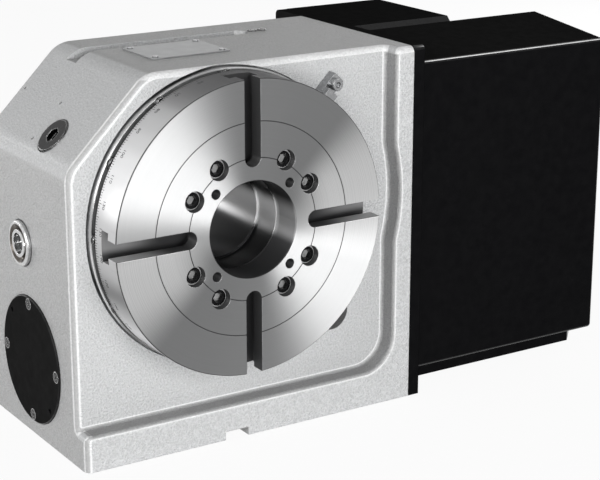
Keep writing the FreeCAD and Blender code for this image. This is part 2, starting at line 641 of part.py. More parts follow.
def make_casting():
    body = new_body("body_casting")
    outline = new_sketch(body, "XZ_Plane")
    add_loop(outline, [
        ("case_left", "0"),
        ("case_right", "0"),
        ("case_right", "case_top"),
        ("case_left + bevel_size", "case_top"),
        ("case_left", "case_top - bevel_size"),
    ])
    pad(body, outline, "case_depth", back=True)
    left = size("case_left")
    top = size("case_top")
    bevel_low = top - size("bevel_size")
    depth = size("case_depth")

    def bevel_corner(middle, edge):
        lies_deep = near(middle.y, depth / 2)
        return lies_deep and middle.x < left + size("bevel_size") + 0.1 and middle.z > bevel_low - 0.1

    soften(body, "Fillet", "bevel_round", bevel_corner)

    def on_outline(middle):
        """True on the left, bevelled or top side, seen from the front."""
        beside_bevel = middle.x - left + top - middle.z < 1.3 * size("bevel_size")
        return near(middle.x, left) or near(middle.z, top) or beside_bevel

    # Proud foot and right rim, relieved around the face plate
    step = new_sketch(body, "XZ_Plane")
    inner = "case_right - rim_width"
    relief = "sqrt(rim_relief_r ^ 2 - (case_right - rim_width) ^ 2)"
    add_loop(step, [
        ("case_left", "0"),
        ("case_right", "0"),
        ("case_right", "case_top"),
        (inner, "case_top"),
        (inner, f"centre_height + {relief}", "rim_relief_r", "0", "centre_height"),
        (inner, f"centre_height - {relief}"),
        (inner, "foot_height + step_corner_r", "step_corner_r",
         f"{inner} - step_corner_r", "foot_height + step_corner_r"),
        (f"{inner} - step_corner_r", "foot_height"),
        ("case_left", "foot_height"),
    ])
    pad(body, step, "step_proud")
    front = -size("step_proud")
    rim_left = size("case_right - rim_width")

    def inner_side(middle):
        """True on the inner side of foot and rim."""
        inside = middle.x < size("case_right") - 1 and middle.z > 1
        return inside and not on_outline(middle)

    soften(body, "Fillet", "relief_blend",
           lambda middle, edge: near(middle.y, front / 2) and inner_side(middle) and near(middle.x, rim_left))
    soften(body, "Fillet", "step_cove", lambda middle, edge: near(middle.y, 0) and inner_side(middle))
    soften(body, "Fillet", "step_round", lambda middle, edge: near(middle.y, front) and inner_side(middle))

    def front_outline(middle, edge):
        clear = middle.z > 0.1 and middle.x < size("case_right") - 0.1
        return middle.y < 0.1 and clear and on_outline(middle)

    soften(body, "Fillet", "panel_round", front_outline)
    soften(body, "Fillet", "back_round", lambda middle, edge: near(middle.y, depth) and on_outline(middle))

    # Stepped bore for ring, bearing, worm wheel, brake and rear housing
    bore = new_sketch(body, "YZ_Plane", ("0", "centre_height", "0"))
    add_loop(bore, [
        ("0 - 1", "0"),
        ("case_depth + 1", "0"),
        ("case_depth + 1", "brake_bore_r"),
        ("brake_step_y", "brake_bore_r"),
        ("brake_step_y", "gear_bore_r"),
        ("lip_back_y", "gear_bore_r"),
        ("lip_back_y", "lip_r"),
        ("bearing_back_y", "lip_r"),
        ("bearing_back_y", "bearing_out_r"),
        ("bearing_front_y", "bearing_out_r"),
        ("bearing_front_y", "ring_bore_r"),
        ("0 - 1", "ring_bore_r"),
    ])
    around(body, "Groove", bore, "H_Axis")

    # Worm tunnel through the casting, with seats for bearings and end cover
    tunnel = new_sketch(body, "XZ_Plane", ("0", "worm_z", "0 - worm_y"))
    add_loop(tunnel, [
        ("case_left - 1", "0"),
        ("belt_wall_x + 1", "0"),
        ("belt_wall_x + 1", "worm_bearing_out_r"),
        ("worm_shoulder_x", "worm_bearing_out_r"),
        ("worm_shoulder_x", "tunnel_r"),
        ("0 - worm_shoulder_x", "tunnel_r"),
        ("0 - worm_shoulder_x", "worm_bearing_out_r"),
        ("case_left + cover_sink", "worm_bearing_out_r"),
        ("case_left + cover_sink", "cover_r + 0.3"),
        ("case_left - 1", "cover_r + 0.3"),
    ])
    around(body, "Groove", tunnel, "H_Axis")

    belt = new_sketch(body, "YZ_Plane", ("0", "0", "case_right"))
    add_belt_loop(belt, "belt_pocket_r", "belt_pocket_top_r")
    pocket(body, belt, "case_right - belt_wall_x")

    key = new_sketch(body, "XZ_Plane")
    add_box(key, "0 - key_width / 2", "0 - 1", "key_width / 2", "key_depth")
    pocket(body, key, both=True)

    # Hose channel on top, open at the bevel, and the two ports it leads to
    channel = new_sketch(body, "XY_Plane", ("0", "0", "case_top"))
    add_slot(channel, "channel_end_x", "case_left", "channel_y", "channel_half")
    pocket(body, channel, "channel_depth")
    ports = new_sketch(body, "XY_Plane", ("0", "0", "case_top"))
    add_circle(ports, "port_x", "channel_y", "port_r")
    add_circle(ports, "port_x + port_step", "channel_y", "port_r")
    pocket(body, ports, "port_depth")

    recess = new_sketch(body, "XZ_Plane")
    add_circle(recess, "blind_x", "blind_z", "blind_r")
    pocket(body, recess, "blind_depth")

    glass = new_sketch(body, "YZ_Plane", ("0", "0", "case_left"))
    add_circle(glass, "glass_y", "glass_z", "glass_sink_r")
    pocket(body, glass, "glass_sink", back=True)
    glass_hole = new_sketch(body, "YZ_Plane", ("0", "0", "case_left"))
    add_circle(glass_hole, "glass_y", "glass_z", "glass_thread_r")
    pocket(body, glass_hole, "glass_depth", back=True)

    # Oil-fill recess and four bare rivet holes, square to the bevel
    def bevel_sketch():
        sketch = new_sketch(body, "XY_Plane")
        sketch.AttachmentOffset = Place(V(0, 0, 0), Turn(V(0, 1, 0), -45))
        sketch.setExpression("AttachmentOffset.Base.x", bound("case_left + bevel_size / 2"))
        sketch.setExpression("AttachmentOffset.Base.z", bound("case_top - bevel_size / 2"))
        return sketch

    fill = bevel_sketch()
    add_circle(fill, "fill_u", "fill_y", "fill_sink_r")
    pocket(body, fill, "fill_sink")
    fill_hole = bevel_sketch()
    add_circle(fill_hole, "fill_u", "fill_y", "fill_thread_r")
    pocket(body, fill_hole, "fill_depth")
    rivets = bevel_sketch()
    for along in ("rivet_u_low", "rivet_u_high"):
        for across in ("rivet_front_y", "rivet_back_y"):
            add_circle(rivets, along, across, "rivet_r")
    pocket(body, rivets, "rivet_depth")

    drain = new_sketch(body, "XZ_Plane", ("0", "0", "0 - case_depth"))
    add_circle(drain, "drain_x", "drain_z", "drain_r")
    pocket(body, drain, "drain_depth", back=True)

    pointer = new_sketch(body, "XZ_Plane", ("0", "centre_height", "0"))
    across = "pointer_screw_at * cos(pointer_angle * 1 deg)"
    height = "pointer_screw_at * sin(pointer_angle * 1 deg)"
    add_circle(pointer, across, height, "pointer_screw_r")
    pocket(body, pointer, "tap_depth")

    # Tapped holes: ring screws, rear housing, end cover and flange plate
    taps = new_sketch(body, "XZ_Plane", ("0", "centre_height", "0 - bearing_front_y"))
    add_circle(taps, "ring_screw_ring_r", "0", "ring_screw_r")
    ring_of(body, [pocket(body, taps, "tap_depth")], taps, 12)
    rear = new_sketch(body, "XZ_Plane", ("0", "centre_height", "0 - case_depth"))
    add_circle(rear, "flange_screw_ring_r * cos(22.5 deg)",
               "flange_screw_ring_r * sin(22.5 deg)", "flange_screw_r")
    ring_of(body, [pocket(body, rear, "tap_depth", back=True)], rear, 8)
    end = new_sketch(body, "YZ_Plane", ("worm_y", "worm_z", "case_left + cover_sink"))
    add_circle(end, "cover_screw_ring_r", "0", "cover_screw_r")
    ring_of(body, [pocket(body, end, "tap_depth", back=True)], end, 4)
    side = new_sketch(body, "YZ_Plane", ("0", "0", "case_right"))
    for across, height in plate_screw_places:
        add_circle(side, across, height, "plate_screw_r")
    pocket(body, side, "tap_depth")
    return body


plate_screw_places = [
    ("8", "12"), ("8", "92"), ("8", "245"), ("66", "245"),
    ("122", "12"), ("122", "92"), ("122", "170"), ("122", "245"),
]

make_casting()


# Face plate, spindle and everything that turns with them

def make_platter():
    body = new_body("platter")
    outline = new_sketch(body, "XZ_Plane")
    chamfer_face = "face_y + edge_break"
    add_loop(outline, [
        ("bore_r + edge_break", "face_y"),
        ("scribe_one_r - scribe_half", "face_y"),
        ("scribe_one_r", "face_y + scribe_half"),
        ("scribe_one_r + scribe_half", "face_y"),
        ("scribe_two_r - scribe_half", "face_y"),
        ("scribe_two_r", "face_y + scribe_half"),
        ("scribe_two_r + scribe_half", "face_y"),
        ("platter_r - edge_break", "face_y"),
        ("platter_r", chamfer_face),
        ("platter_r", "rim_back_y"),
        ("boss_r", "rim_back_y"),
        ("boss_r", "boss_back_y"),
        ("nose_r", "boss_back_y"),
        ("nose_r", "seat_y"),
        ("bore_r + edge_break", "seat_y"),
        ("bore_r", "seat_y - edge_break"),
        ("bore_r", chamfer_face),
    ])
    around(body, "Revolution", outline, "V_Axis")

    # One quarter of the slots and holes, repeated four times
    neck = new_sketch(body, "XY_Plane", ("0", "0", "face_y"))
    add_slot(neck, "slot_end_r", "platter_r + 2", "0", "slot_neck / 2")
    wide = new_sketch(body, "XY_Plane", ("0", "0", "face_y + neck_depth"))
    add_slot(wide, "slot_end_r", "platter_r + 2", "0", "slot_wide / 2")
    sinks = new_sketch(body, "XY_Plane", ("0", "0", "face_y"))
    holes = new_sketch(body, "XY_Plane", ("0", "0", "face_y"))
    for angle in (30, 60):
        across = f"bolt_ring_r * cos({angle} deg)"
        height = f"bolt_ring_r * sin({angle} deg)"
        add_circle(sinks, across, height, "bolt_sink_r")
        add_circle(holes, across, height, "bolt_clear_r")
    jacks = new_sketch(body, "XY_Plane", ("0", "0", "face_y"))
    add_circle(jacks, "jack_ring_r * cos(45 deg)", "jack_ring_r * sin(45 deg)", "jack_r")
    cuts = [
        pocket(body, neck, "neck_depth", back=True),
        pocket(body, wide, "slot_depth - neck_depth", back=True),
        pocket(body, sinks, "bolt_sink_depth", back=True),
        pocket(body, holes, "seat_y - face_y", back=True),
        pocket(body, jacks, "jack_depth", back=True),
    ]
    ring_of(body, cuts, neck, 4)
    on_spindle(body)
    return body


def make_spindle():
    body = new_body("spindle")
    outline = new_sketch(body, "XZ_Plane")
    nose = "nose_r - nose_fit"
    add_loop(outline, [
        ("bore_r + edge_break", "seat_y"),
        (nose, "seat_y"),
        (nose, "nose_back_y"),
        ("collar_r", "nose_back_y"),
        ("collar_r", "bearing_front_y"),
        ("bearing_bore_r", "bearing_front_y"),
        ("bearing_bore_r", "bearing_back_y"),
        ("wheel_seat_r", "bearing_back_y"),
        ("wheel_seat_r", "disc_back_y"),
        ("nut_seat_r", "disc_back_y"),
        ("nut_seat_r", "tail_bearing_y"),
        ("tail_r", "tail_bearing_y"),
        ("tail_r", "tail_end_y - edge_break"),
        ("tail_r - edge_break", "tail_end_y"),
        ("back_bore_r", "tail_end_y"),
        ("back_bore_r", "bore_step_y"),
        ("bore_r", "bore_step_y"),
        ("bore_r", "seat_y + edge_break"),
    ])
    around(body, "Revolution", outline, "V_Axis")
    taps = new_sketch(body, "XY_Plane", ("0", "0", "seat_y"))
    for angle in (30, 60):
        add_circle(taps, f"bolt_ring_r * cos({angle} deg)", f"bolt_ring_r * sin({angle} deg)", "bolt_r")
    ring_of(body, [pocket(body, taps, "bolt_tap_depth", back=True)], taps, 4)
    on_spindle(body)
    return body


make_platter()
make_spindle()
group("platter_bolts", [
    cap_screw(about_spindle(size("bolt_ring_r"), angle, size("face_y + bolt_sink_depth")),
              V(0, -1, 0), size("bolt_r"), size("bolt_length"))
    for angle in (30, 60, 120, 150, 210, 240, 300, 330)
])


# Main bearing with crossed rollers, held by the screwed retainer ring

mid_race = "(bearing_front_y + bearing_back_y) / 2"
apex = "(roller_r * sqrt(2) + roller_room)"
flare = f"({apex} - race_gap)"
turned("main_bearing_outer", [
    ("bearing_out_r", "bearing_front_y"),
    ("bearing_out_r", "bearing_back_y"),
    ("roller_pitch_r + race_gap", "bearing_back_y"),
    ("roller_pitch_r + race_gap", f"{mid_race} + {flare}"),
    (f"roller_pitch_r + {apex}", mid_race),
    ("roller_pitch_r + race_gap", f"{mid_race} - {flare}"),
    ("roller_pitch_r + race_gap", "bearing_front_y"),
], on_spindle)
turned("main_bearing_inner", [
    ("bearing_bore_r", "bearing_front_y"),
    ("bearing_bore_r", "bearing_back_y"),
    ("roller_pitch_r - race_gap", "bearing_back_y"),
    ("roller_pitch_r - race_gap", f"{mid_race} + {flare}"),
    (f"roller_pitch_r - {apex}", mid_race),
    ("roller_pitch_r - race_gap", f"{mid_race} - {flare}"),
    ("roller_pitch_r - race_gap", "bearing_front_y"),
], on_spindle)


def crossed_roller(number, count):
    """One roller, leaning to one side or the other in turn."""
    angle = 360 / count * number
    turn = math.radians(angle)
    lean = math.radians(45 if number % 2 else -45)
    outward = V(math.cos(turn), 0, math.sin(turn))
    axis = outward * math.cos(lean) + V(0, 1, 0) * math.sin(lean)
    centre = about_spindle(size("roller_pitch_r"), angle, size(mid_race))
    length = size("roller_length")
    return Part.makeCylinder(size("roller_r"), length, centre - axis * (length / 2), axis)


roller_count = int(size("roller_count"))
group("main_bearing_rollers", [crossed_roller(number, roller_count) for number in range(roller_count)])

retainer = turned("retainer_ring", [
    ("ring_in_r", "ring_front_y"),
    ("ring_out_r - edge_break", "ring_front_y"),
    ("ring_out_r", "ring_front_y + edge_break"),
    ("ring_out_r", "bearing_front_y"),
    ("ring_in_r", "bearing_front_y"),
], on_spindle)
ring_holes = new_sketch(retainer, "XY_Plane", ("0", "0", "ring_front_y"))
add_circle(ring_holes, "ring_screw_ring_r", "0", "ring_screw_r + screw_gap")
ring_of(retainer, [pocket(retainer, ring_holes, back=True)], ring_holes, 12)
group("retainer_screws", [
    cap_screw(about_spindle(size("ring_screw_ring_r"), angle, size("ring_front_y")),
              V(0, -1, 0), size("ring_screw_r"), size("ring_screw_length"), size("flat_head"))
    for angle in range(0, 360, 30)
])
turned("front_oil_seal", [
    ("nose_r + seal_lip", "0 - seal_half"),
    ("ring_in_r", "0 - seal_half"),
    ("ring_in_r", "seal_half"),
    ("nose_r + seal_lip", "seal_half"),
    ("nose_r + seal_gap", "seal_lip / 4"),
    ("nose_r + seal_gap", "0"),
], on_spindle)
ring("bearing_spacer", "wheel_seat_r", "spacer_r", "bearing_back_y", "spacer_back_y", on_spindle)


# Worm wheel: a throated blank with helical tooth gaps cut into it

def make_wheel():
    half_face = "wheel_face / 2"
    axis_r = "(centre_height - worm_z)"
    dip = f"sqrt(throat_r ^ 2 - ({axis_r} - wheel_tip_r) ^ 2)"
    body = turned("worm_wheel", [
        ("wheel_seat_r", "spacer_back_y"),
        ("wheel_hub_r", "spacer_back_y"),
        ("wheel_hub_r", "worm_y - wheel_web / 2"),
        ("wheel_rim_r", "worm_y - wheel_web / 2"),
        ("wheel_rim_r", f"worm_y - {half_face}"),
        ("wheel_tip_r", f"worm_y - {half_face}"),
        ("wheel_tip_r", f"worm_y - {dip}", "throat_r", axis_r, "worm_y"),
        ("wheel_tip_r", f"worm_y + {dip}"),
        ("wheel_tip_r", f"worm_y + {half_face}"),
        ("wheel_rim_r", f"worm_y + {half_face}"),
        ("wheel_rim_r", "worm_y + wheel_web / 2"),
        ("wheel_hub_r", "worm_y + wheel_web / 2"),
        ("wheel_hub_r", "wheel_back_y"),
        ("wheel_seat_r", "wheel_back_y"),
    ], on_spindle)
    pitch_r = "(wheel_module * wheel_teeth / 2)"
    tooth_half = "(pi * wheel_module / 4 - flank_clear"
    slope = "tan(flank_angle * 1 deg)"
    overrun = f"({half_face} + 1)"
    twist = f"(wheel_module / 2 / worm_pitch_r * {overrun} / {pitch_r})"

    def gap_sketch(side):
        """Outline of one tooth gap beyond the front (-1) or back (1) of the rim."""
        sketch = new_sketch(body, "XY_Plane", ("0", "0", f"worm_y + {side} * {overrun}"))
        spots = []
        for radius, flank in (("wheel_root_r", -1), ("wheel_tip_r + 1", -1),
                              ("wheel_tip_r + 1", 1), ("wheel_root_r", 1)):
            tooth = f"{tooth_half} - ({radius} - {pitch_r}) * {slope}) / ({radius})"
            angle = f"({side} * {twist} + {flank} * (pi / wheel_teeth - {tooth})) * 1 rad"
            spots.append((f"({radius}) * cos({angle})", f"({radius}) * sin({angle})"))
        add_loop(sketch, spots)
        return sketch

    front = gap_sketch(-1)
    gap = body.newObject("PartDesign::SubtractiveLoft", "gap")
    gap.Profile = front
    gap.Sections = [gap_sketch(1)]
    gap.Ruled = True
    doc.recompute()
    ring_of(body, [gap], front, int(size("wheel_teeth")))
    return body


make_wheel()


# Brake, spindle nut and rear housing

ring("brake_ring", "friction_in_r", "brake_bore_r", "brake_step_y", "brake_step_y + friction_thick",
     on_spindle)
ring("brake_disc", "wheel_seat_r", "disc_r", "wheel_back_y", "disc_back_y", on_spindle)


def slotted_nut(label, inner, outer, start, end, seat, width, depth):
    """Round nut with four hook-spanner slots."""
    body = ring(label, inner, outer, start, end, seat)
    slot = new_sketch(body, "XY_Plane", ("0", "0", start))
    add_box(slot, f"{outer} - {depth}", f"0 - {width} / 2", f"{outer} + 1", f"{width} / 2")
    ring_of(body, [pocket(body, slot, back=True)], slot, 4)
    return body


slotted_nut("spindle_nut", "nut_seat_r", "nut_r", "disc_back_y", "nut_back_y", on_spindle,
            "hook_width", "hook_depth")
rear = turned("rear_housing", [
    ("housing_in_r", "housing_front_y"),
    ("piston_in_r", "housing_front_y"),
    ("piston_in_r", "cylinder_back_y"),
    ("piston_out_r", "cylinder_back_y"),
    ("piston_out_r", "housing_front_y"),
    ("brake_bore_r", "housing_front_y"),
    ("brake_bore_r", "case_depth"),
    ("flange_r", "case_depth"),
    ("flange_r", "flange_back_y - edge_break"),
    ("flange_r - edge_break", "flange_back_y"),
    ("tail_seal_r", "flange_back_y"),
    ("tail_seal_r", "tail_seal_y"),
    ("tail_shoulder_r", "tail_seal_y"),
    ("tail_shoulder_r", "tail_bearing_back_y"),
    ("tail_bearing_r", "tail_bearing_back_y"),
    ("tail_bearing_r", "tail_bearing_y"),
    ("housing_in_r", "tail_bearing_y"),
], on_spindle)
rear_holes = new_sketch(rear, "XY_Plane", ("0", "0", "flange_back_y"))
add_circle(rear_holes, "flange_screw_ring_r * cos(22.5 deg)",
           "flange_screw_ring_r * sin(22.5 deg)", "flange_screw_r + screw_gap")
ring_of(rear, [pocket(rear, rear_holes, "flange_back_y - case_depth")], rear_holes, 8)
group("rear_housing_screws", [
    cap_screw(about_spindle(size("flange_screw_ring_r"), angle + 22.5, size("flange_back_y")),
              V(0, 1, 0), size("flange_screw_r"), size("flange_screw_length"))
    for angle in range(0, 360, 45)
])
ring("brake_piston", "piston_in_r + piston_fit", "piston_out_r - piston_fit",
     "piston_front_y", "piston_back_y", on_spindle)


def sealed_bearing(label, inner, outer, start, end, seat):
    """Inner ring, and outer ring with the two shields that close over it."""
    depth = f"({outer} - {inner})"
    inner_top = f"{inner} + {depth} * 0.32"
    outer_low = f"{outer} - {depth} * 0.28"
    shield_low = f"{inner_top} + seal_gap"
    ring(f"{label}_inner", inner, inner_top, start, end, seat)
    turned(f"{label}_outer", [
        (outer, start),
        (outer, end),
        (outer_low, end),
        (outer_low, f"{end} - shield_in"),
        (shield_low, f"{end} - shield_in"),
        (shield_low, f"{end} - shield_in - shield_thick"),
        (outer_low, f"{end} - shield_in - shield_thick"),
        (outer_low, f"{start} + shield_in + shield_thick"),
        (shield_low, f"{start} + shield_in + shield_thick"),
        (shield_low, f"{start} + shield_in"),
        (outer_low, f"{start} + shield_in"),
        (outer_low, start),
    ], seat)


def lip_seal(label, shaft, outer, start, end, seat):
    """Rubber ring whose lip leans to the wet side."""
    turned(label, [
        (f"{shaft} + seal_lip", start),
        (outer, start),
        (outer, end),
        (f"{shaft} + seal_lip", end),
        (f"{shaft} + seal_gap", f"{end} - seal_lip * 0.75"),
        (f"{shaft} + seal_gap", f"{end} - seal_lip"),
    ], seat)


sealed_bearing("rear_bearing", "tail_r", "tail_bearing_r", "tail_bearing_y", "tail_bearing_back_y",
               on_spindle)
lip_seal("rear_oil_seal", "tail_r", "tail_seal_r", "tail_seal_y", "tail_seal_y + seal_wide", on_spindle)


# Worm shaft with its thread, bearings, nut, seal and end cover

def make_worm():
    shoulder = "worm_shoulder_x"
    body = turned("worm_shaft", [
        ("0", "worm_nut_x - 2"),
        ("worm_thread_r", "worm_nut_x - 2"),
        ("worm_thread_r", "worm_left_x"),
        ("worm_bearing_r", "worm_left_x"),
        ("worm_bearing_r", f"0 - {shoulder}"),
        ("worm_shoulder_r", f"0 - {shoulder}"),
        ("worm_shoulder_r", "0 - worm_relief_x - 2"),
        ("worm_root_r", "0 - worm_relief_x"),
        ("worm_root_r", "worm_relief_x"),
        ("worm_shoulder_r", "worm_relief_x + 2"),
        ("worm_shoulder_r", shoulder),
        ("worm_bearing_r", shoulder),
        ("worm_bearing_r", "worm_right_x"),
        ("worm_thread_r", "worm_right_x"),
        ("worm_thread_r", "belt_wall_x"),
        ("pulley_seat_r", "belt_wall_x"),
        ("pulley_seat_r", "worm_end_x - edge_break"),
        ("pulley_seat_r - edge_break", "worm_end_x"),
        ("0", "worm_end_x"),
    ], on_worm)
    pitch = "pi * wheel_module"
    start = f"(0 - worm_turns / 2 * {pitch})"
    slope = "tan(flank_angle * 1 deg)"
    root_half = f"({pitch} / 4 - flank_clear + (worm_pitch_r - worm_root_r + 0.3) * {slope})"
    tip_half = f"({pitch} / 4 - flank_clear - (worm_tip_r - worm_pitch_r) * {slope})"
    profile = new_sketch(body, "XZ_Plane")
    add_loop(profile, [
        ("worm_root_r - 0.3", f"{start} - {root_half}"),
        ("worm_tip_r", f"{start} - {tip_half}"),
        ("worm_tip_r", f"{start} + {tip_half}"),
        ("worm_root_r - 0.3", f"{start} + {root_half}"),
    ])
    thread = body.newObject("PartDesign::AdditiveHelix", "thread")
    thread.Profile = profile
    thread.ReferenceAxis = (profile, ["V_Axis"])
    thread.Mode = "pitch-turns-angle"
    thread.setExpression("Pitch", bound(pitch))
    thread.setExpression("Turns", bound("worm_turns"))
    doc.recompute()
    return body


make_worm()
sealed_bearing("worm_left_bearing", "worm_bearing_r", "worm_bearing_out_r",
               "worm_left_x", "(0 - worm_shoulder_x)", on_worm)
sealed_bearing("worm_right_bearing", "worm_bearing_r", "worm_bearing_out_r",
               "worm_shoulder_x", "worm_right_x", on_worm)
slotted_nut("worm_lock_nut", "worm_thread_r", "worm_nut_r", "worm_nut_x", "worm_left_x", on_worm,
            "worm_hook_width", "worm_hook_depth")
lip_seal("worm_oil_seal", "worm_thread_r", "worm_bearing_out_r", "worm_seal_x", "worm_seal_back_x",
         on_worm)
cover = turned("worm_end_cover", [
    ("0", "cover_front_x"),
    ("cover_r - edge_break", "cover_front_x"),
    ("cover_r", "cover_front_x + edge_break"),
    ("cover_r", "case_left + cover_sink"),
    ("worm_bearing_out_r", "case_left + cover_sink"),
    ("worm_bearing_out_r", "worm_left_x"),
    ("worm_nut_r + 3", "worm_left_x"),
    ("worm_nut_r + 3", "case_left + cover_sink"),
    ("0", "case_left + cover_sink"),
], on_worm)
cover_holes = new_sketch(cover, "XY_Plane", ("0", "0", "cover_front_x"))
add_circle(cover_holes, "cover_screw_ring_r", "0", "cover_screw_r + screw_gap")
jack_hole = new_sketch(cover, "XY_Plane", ("0", "0", "cover_front_x"))
add_circle(jack_hole, "0 - cover_screw_ring_r * cos(45 deg)", "cover_screw_ring_r * sin(45 deg)",
           "jack_screw_r")
cover_sinks = new_sketch(cover, "XZ_Plane", ("cover_screw_ring_r", "0", "0"))
add_loop(cover_sinks, [
    ("0", "cover_front_x"),
    ("2 * cover_screw_r", "cover_front_x"),
    ("cover_screw_r", "cover_front_x + cover_screw_r"),
    ("0", "cover_front_x + cover_screw_r"),
])
through = pocket(cover, cover_holes, back=True)
ring_of(cover, [through], cover_holes, 4)
sink = around(cover, "Groove", cover_sinks, "V_Axis")
ring_of(cover, [sink], cover_holes, 4)
jack = pocket(cover, jack_hole, back=True)
ring_of(cover, [jack], jack_hole, 2)


def about_worm(radius, angle, station):
    turn = math.radians(angle)
    return V(station, size("worm_y") + radius * math.cos(turn), size("worm_z") + radius * math.sin(turn))


group("worm_cover_screws", [
    sunk_screw(about_worm(size("cover_screw_ring_r"), angle, size("cover_front_x")),
               V(-1, 0, 0), size("cover_screw_r"), size("cover_screw_length"))
    for angle in range(0, 360, 90)
])


# Belt drive

def make_pulley(label, teeth, bore, seat):
    """Toothed pulley with two flanges."""
    crest = f"({teeth} * belt_pitch / (2 * pi) - pulley_under)"
    rim = f"({crest} + pulley_rise)"
    body = turned(label, [
        (bore, "pulley_left_x"),
        (rim, "pulley_left_x"),
        (rim, "pulley_left_x + pulley_flange"),
        (crest, "pulley_left_x + pulley_flange"),
        (crest, "pulley_right_x - pulley_flange"),
        (rim, "pulley_right_x - pulley_flange"),
        (rim, "pulley_right_x"),
        (bore, "pulley_right_x"),
    ], seat)
    gap = new_sketch(body, "XY_Plane", ("0", "0", "pulley_left_x + pulley_flange"))
    add_loop(gap, [
        (f"{crest} - groove_deep", "0 - belt_pitch / 6"),
        (f"{crest} + edge_break", "0 - belt_pitch / 4"),
        (f"{crest} + edge_break", "belt_pitch / 4"),
        (f"{crest} - groove_deep", "belt_pitch / 6"),
    ])
    cut = pocket(body, gap, "pulley_right_x - pulley_left_x - 2 * pulley_flange", back=True)
    ring_of(body, [cut], gap, int(size(teeth)))
    return body


make_pulley("worm_pulley", "worm_pulley_teeth", "pulley_seat_r", on_worm)
make_pulley("motor_pulley", "motor_pulley_teeth", "motor_shaft_r", on_motor)


def make_belt():
    body = new_body("drive_belt")
    middle = "(pulley_left_x + pulley_right_x) / 2"
    under = "belt_gap - pulley_under"
    low = f"(worm_pulley_teeth * belt_pitch / (2 * pi) + {under})"
    high = f"(motor_pulley_teeth * belt_pitch / (2 * pi) + {under})"
    loop = new_sketch(body, "YZ_Plane", ("0", "0", middle))
    add_belt_loop(loop, f"({low} + belt_thick)", f"({high} + belt_thick)")
    add_belt_loop(loop, low, high)
    pad(body, loop, "belt_wide", both=True)
    return body


make_belt()


# Motor

def make_motor():
    body = new_body("motor_housing")
    flange = new_sketch(body, "YZ_Plane", ("motor_y", "motor_z", "plate_right_x"))
    half = "motor_flange / 2"
    add_box(flange, f"0 - {half}", f"0 - {half}", half, half)
    pad(body, flange, "motor_flange_thick")
    case = new_sketch(body, "YZ_Plane", ("motor_y", "motor_z", "plate_right_x + motor_flange_thick"))
    wide = "motor_width / 2"
    slim = "motor_width / 2 - motor_corner"
    add_loop(case, [
        (wide, f"0 - ({slim})"), (wide, slim), (slim, wide), (f"0 - ({slim})", wide),
        (f"0 - {wide}", slim), (f"0 - {wide}", f"0 - ({slim})"),
        (f"0 - ({slim})", f"0 - {wide}"), (slim, f"0 - {wide}"),
    ])
    pad(body, case, "motor_end_x - plate_right_x - motor_flange_thick")
    pilot = new_sketch(body, "YZ_Plane", ("motor_y", "motor_z", "plate_right_x"))
    add_circle(pilot, "0", "0", "motor_pilot_r")
    pad(body, pilot, "motor_pilot", back=True)
    bore = new_sketch(body, "YZ_Plane", ("motor_y", "motor_z", "plate_right_x - motor_pilot"))
    add_circle(bore, "0", "0", "motor_shaft_r + motor_fit")
    pocket(body, bore, "motor_pilot + motor_shaft_seat + 1", back=True)
    screws = new_sketch(body, "YZ_Plane", ("motor_y", "motor_z", "plate_right_x"))
    add_circle(screws, "motor_screw_place", "motor_screw_place", "motor_screw_r + screw_gap")
    ring_of(body, [pocket(body, screws, "motor_flange_thick", back=True)], screws, 4)
    return body


make_motor()
turned("motor_shaft", [
    ("0", "pulley_left_x - 1"),
    ("motor_shaft_r - edge_break", "pulley_left_x - 1"),
    ("motor_shaft_r", "pulley_left_x - 1 + edge_break"),
    ("motor_shaft_r", "plate_right_x + motor_shaft_seat"),
    ("0", "plate_right_x + motor_shaft_seat"),
], on_motor)
encoder = new_body("motor_encoder_cap")
cap = new_sketch(encoder, "YZ_Plane", ("motor_y", "motor_z", "motor_end_x"))
add_box(cap, "0 - encoder_width / 2", "0 - encoder_width / 2", "encoder_width / 2", "encoder_width / 2")
pad(encoder, cap, "encoder_end_x - motor_end_x")
soften(encoder, "Fillet", "encoder_round", lambda middle, edge: middle.x > size("motor_end_x") + 1)
group("motor_screws", [
    cap_screw(V(size("plate_right_x + motor_flange_thick"),
                size("motor_y") + side * size("motor_screw_place"),
                size("motor_z") + rise * size("motor_screw_place")),
              V(1, 0, 0), size("motor_screw_r"), size("motor_screw_length"))
    for side in (-1, 1) for rise in (-1, 1)
])


# Flange plate, covers and what is fixed to them

def make_flange_plate():
    body = new_body("flange_plate")
    outline = new_sketch(body, "YZ_Plane", ("0", "0", "case_right"))
    add_box(outline, "0 - step_proud", "0", "plate_back_y", "case_top")
    pad(body, outline, "plate_right_x - case_right")
    deep = size("case_right + plate_right_x") / 2
    soften(body, "Fillet", "plate_corner",
           lambda middle, edge: near(middle.x, deep) and middle.z > 1)
    pilot = new_sketch(body, "YZ_Plane", ("0", "0", "plate_right_x"))
    add_circle(pilot, "motor_y", "motor_z", "motor_pilot_r + 0.1")
    pocket(body, pilot)
    taps = new_sketch(body, "YZ_Plane", ("motor_y", "motor_z", "plate_right_x"))
    add_circle(taps, "motor_screw_place", "motor_screw_place", "motor_screw_r")
    ring_of(body, [pocket(body, taps)], taps, 4)
    sinks = new_sketch(body, "YZ_Plane", ("0", "0", "plate_right_x"))
    for across, height in plate_screw_places:
        add_circle(sinks, across, height, "plate_screw_r")
    pocket(body, sinks)
    for across, height in plate_screw_places:
        cone = new_sketch(body, "XZ_Plane", ("0", height, f"0 - ({across})"))
        add_loop(cone, [
            ("plate_right_x - plate_screw_r", "0"),
            ("plate_right_x", "0"),
            ("plate_right_x", "2 * plate_screw_r"),
            ("plate_right_x - plate_screw_r", "plate_screw_r"),
        ])
        around(body, "Groove", cone, "H_Axis")
    return body


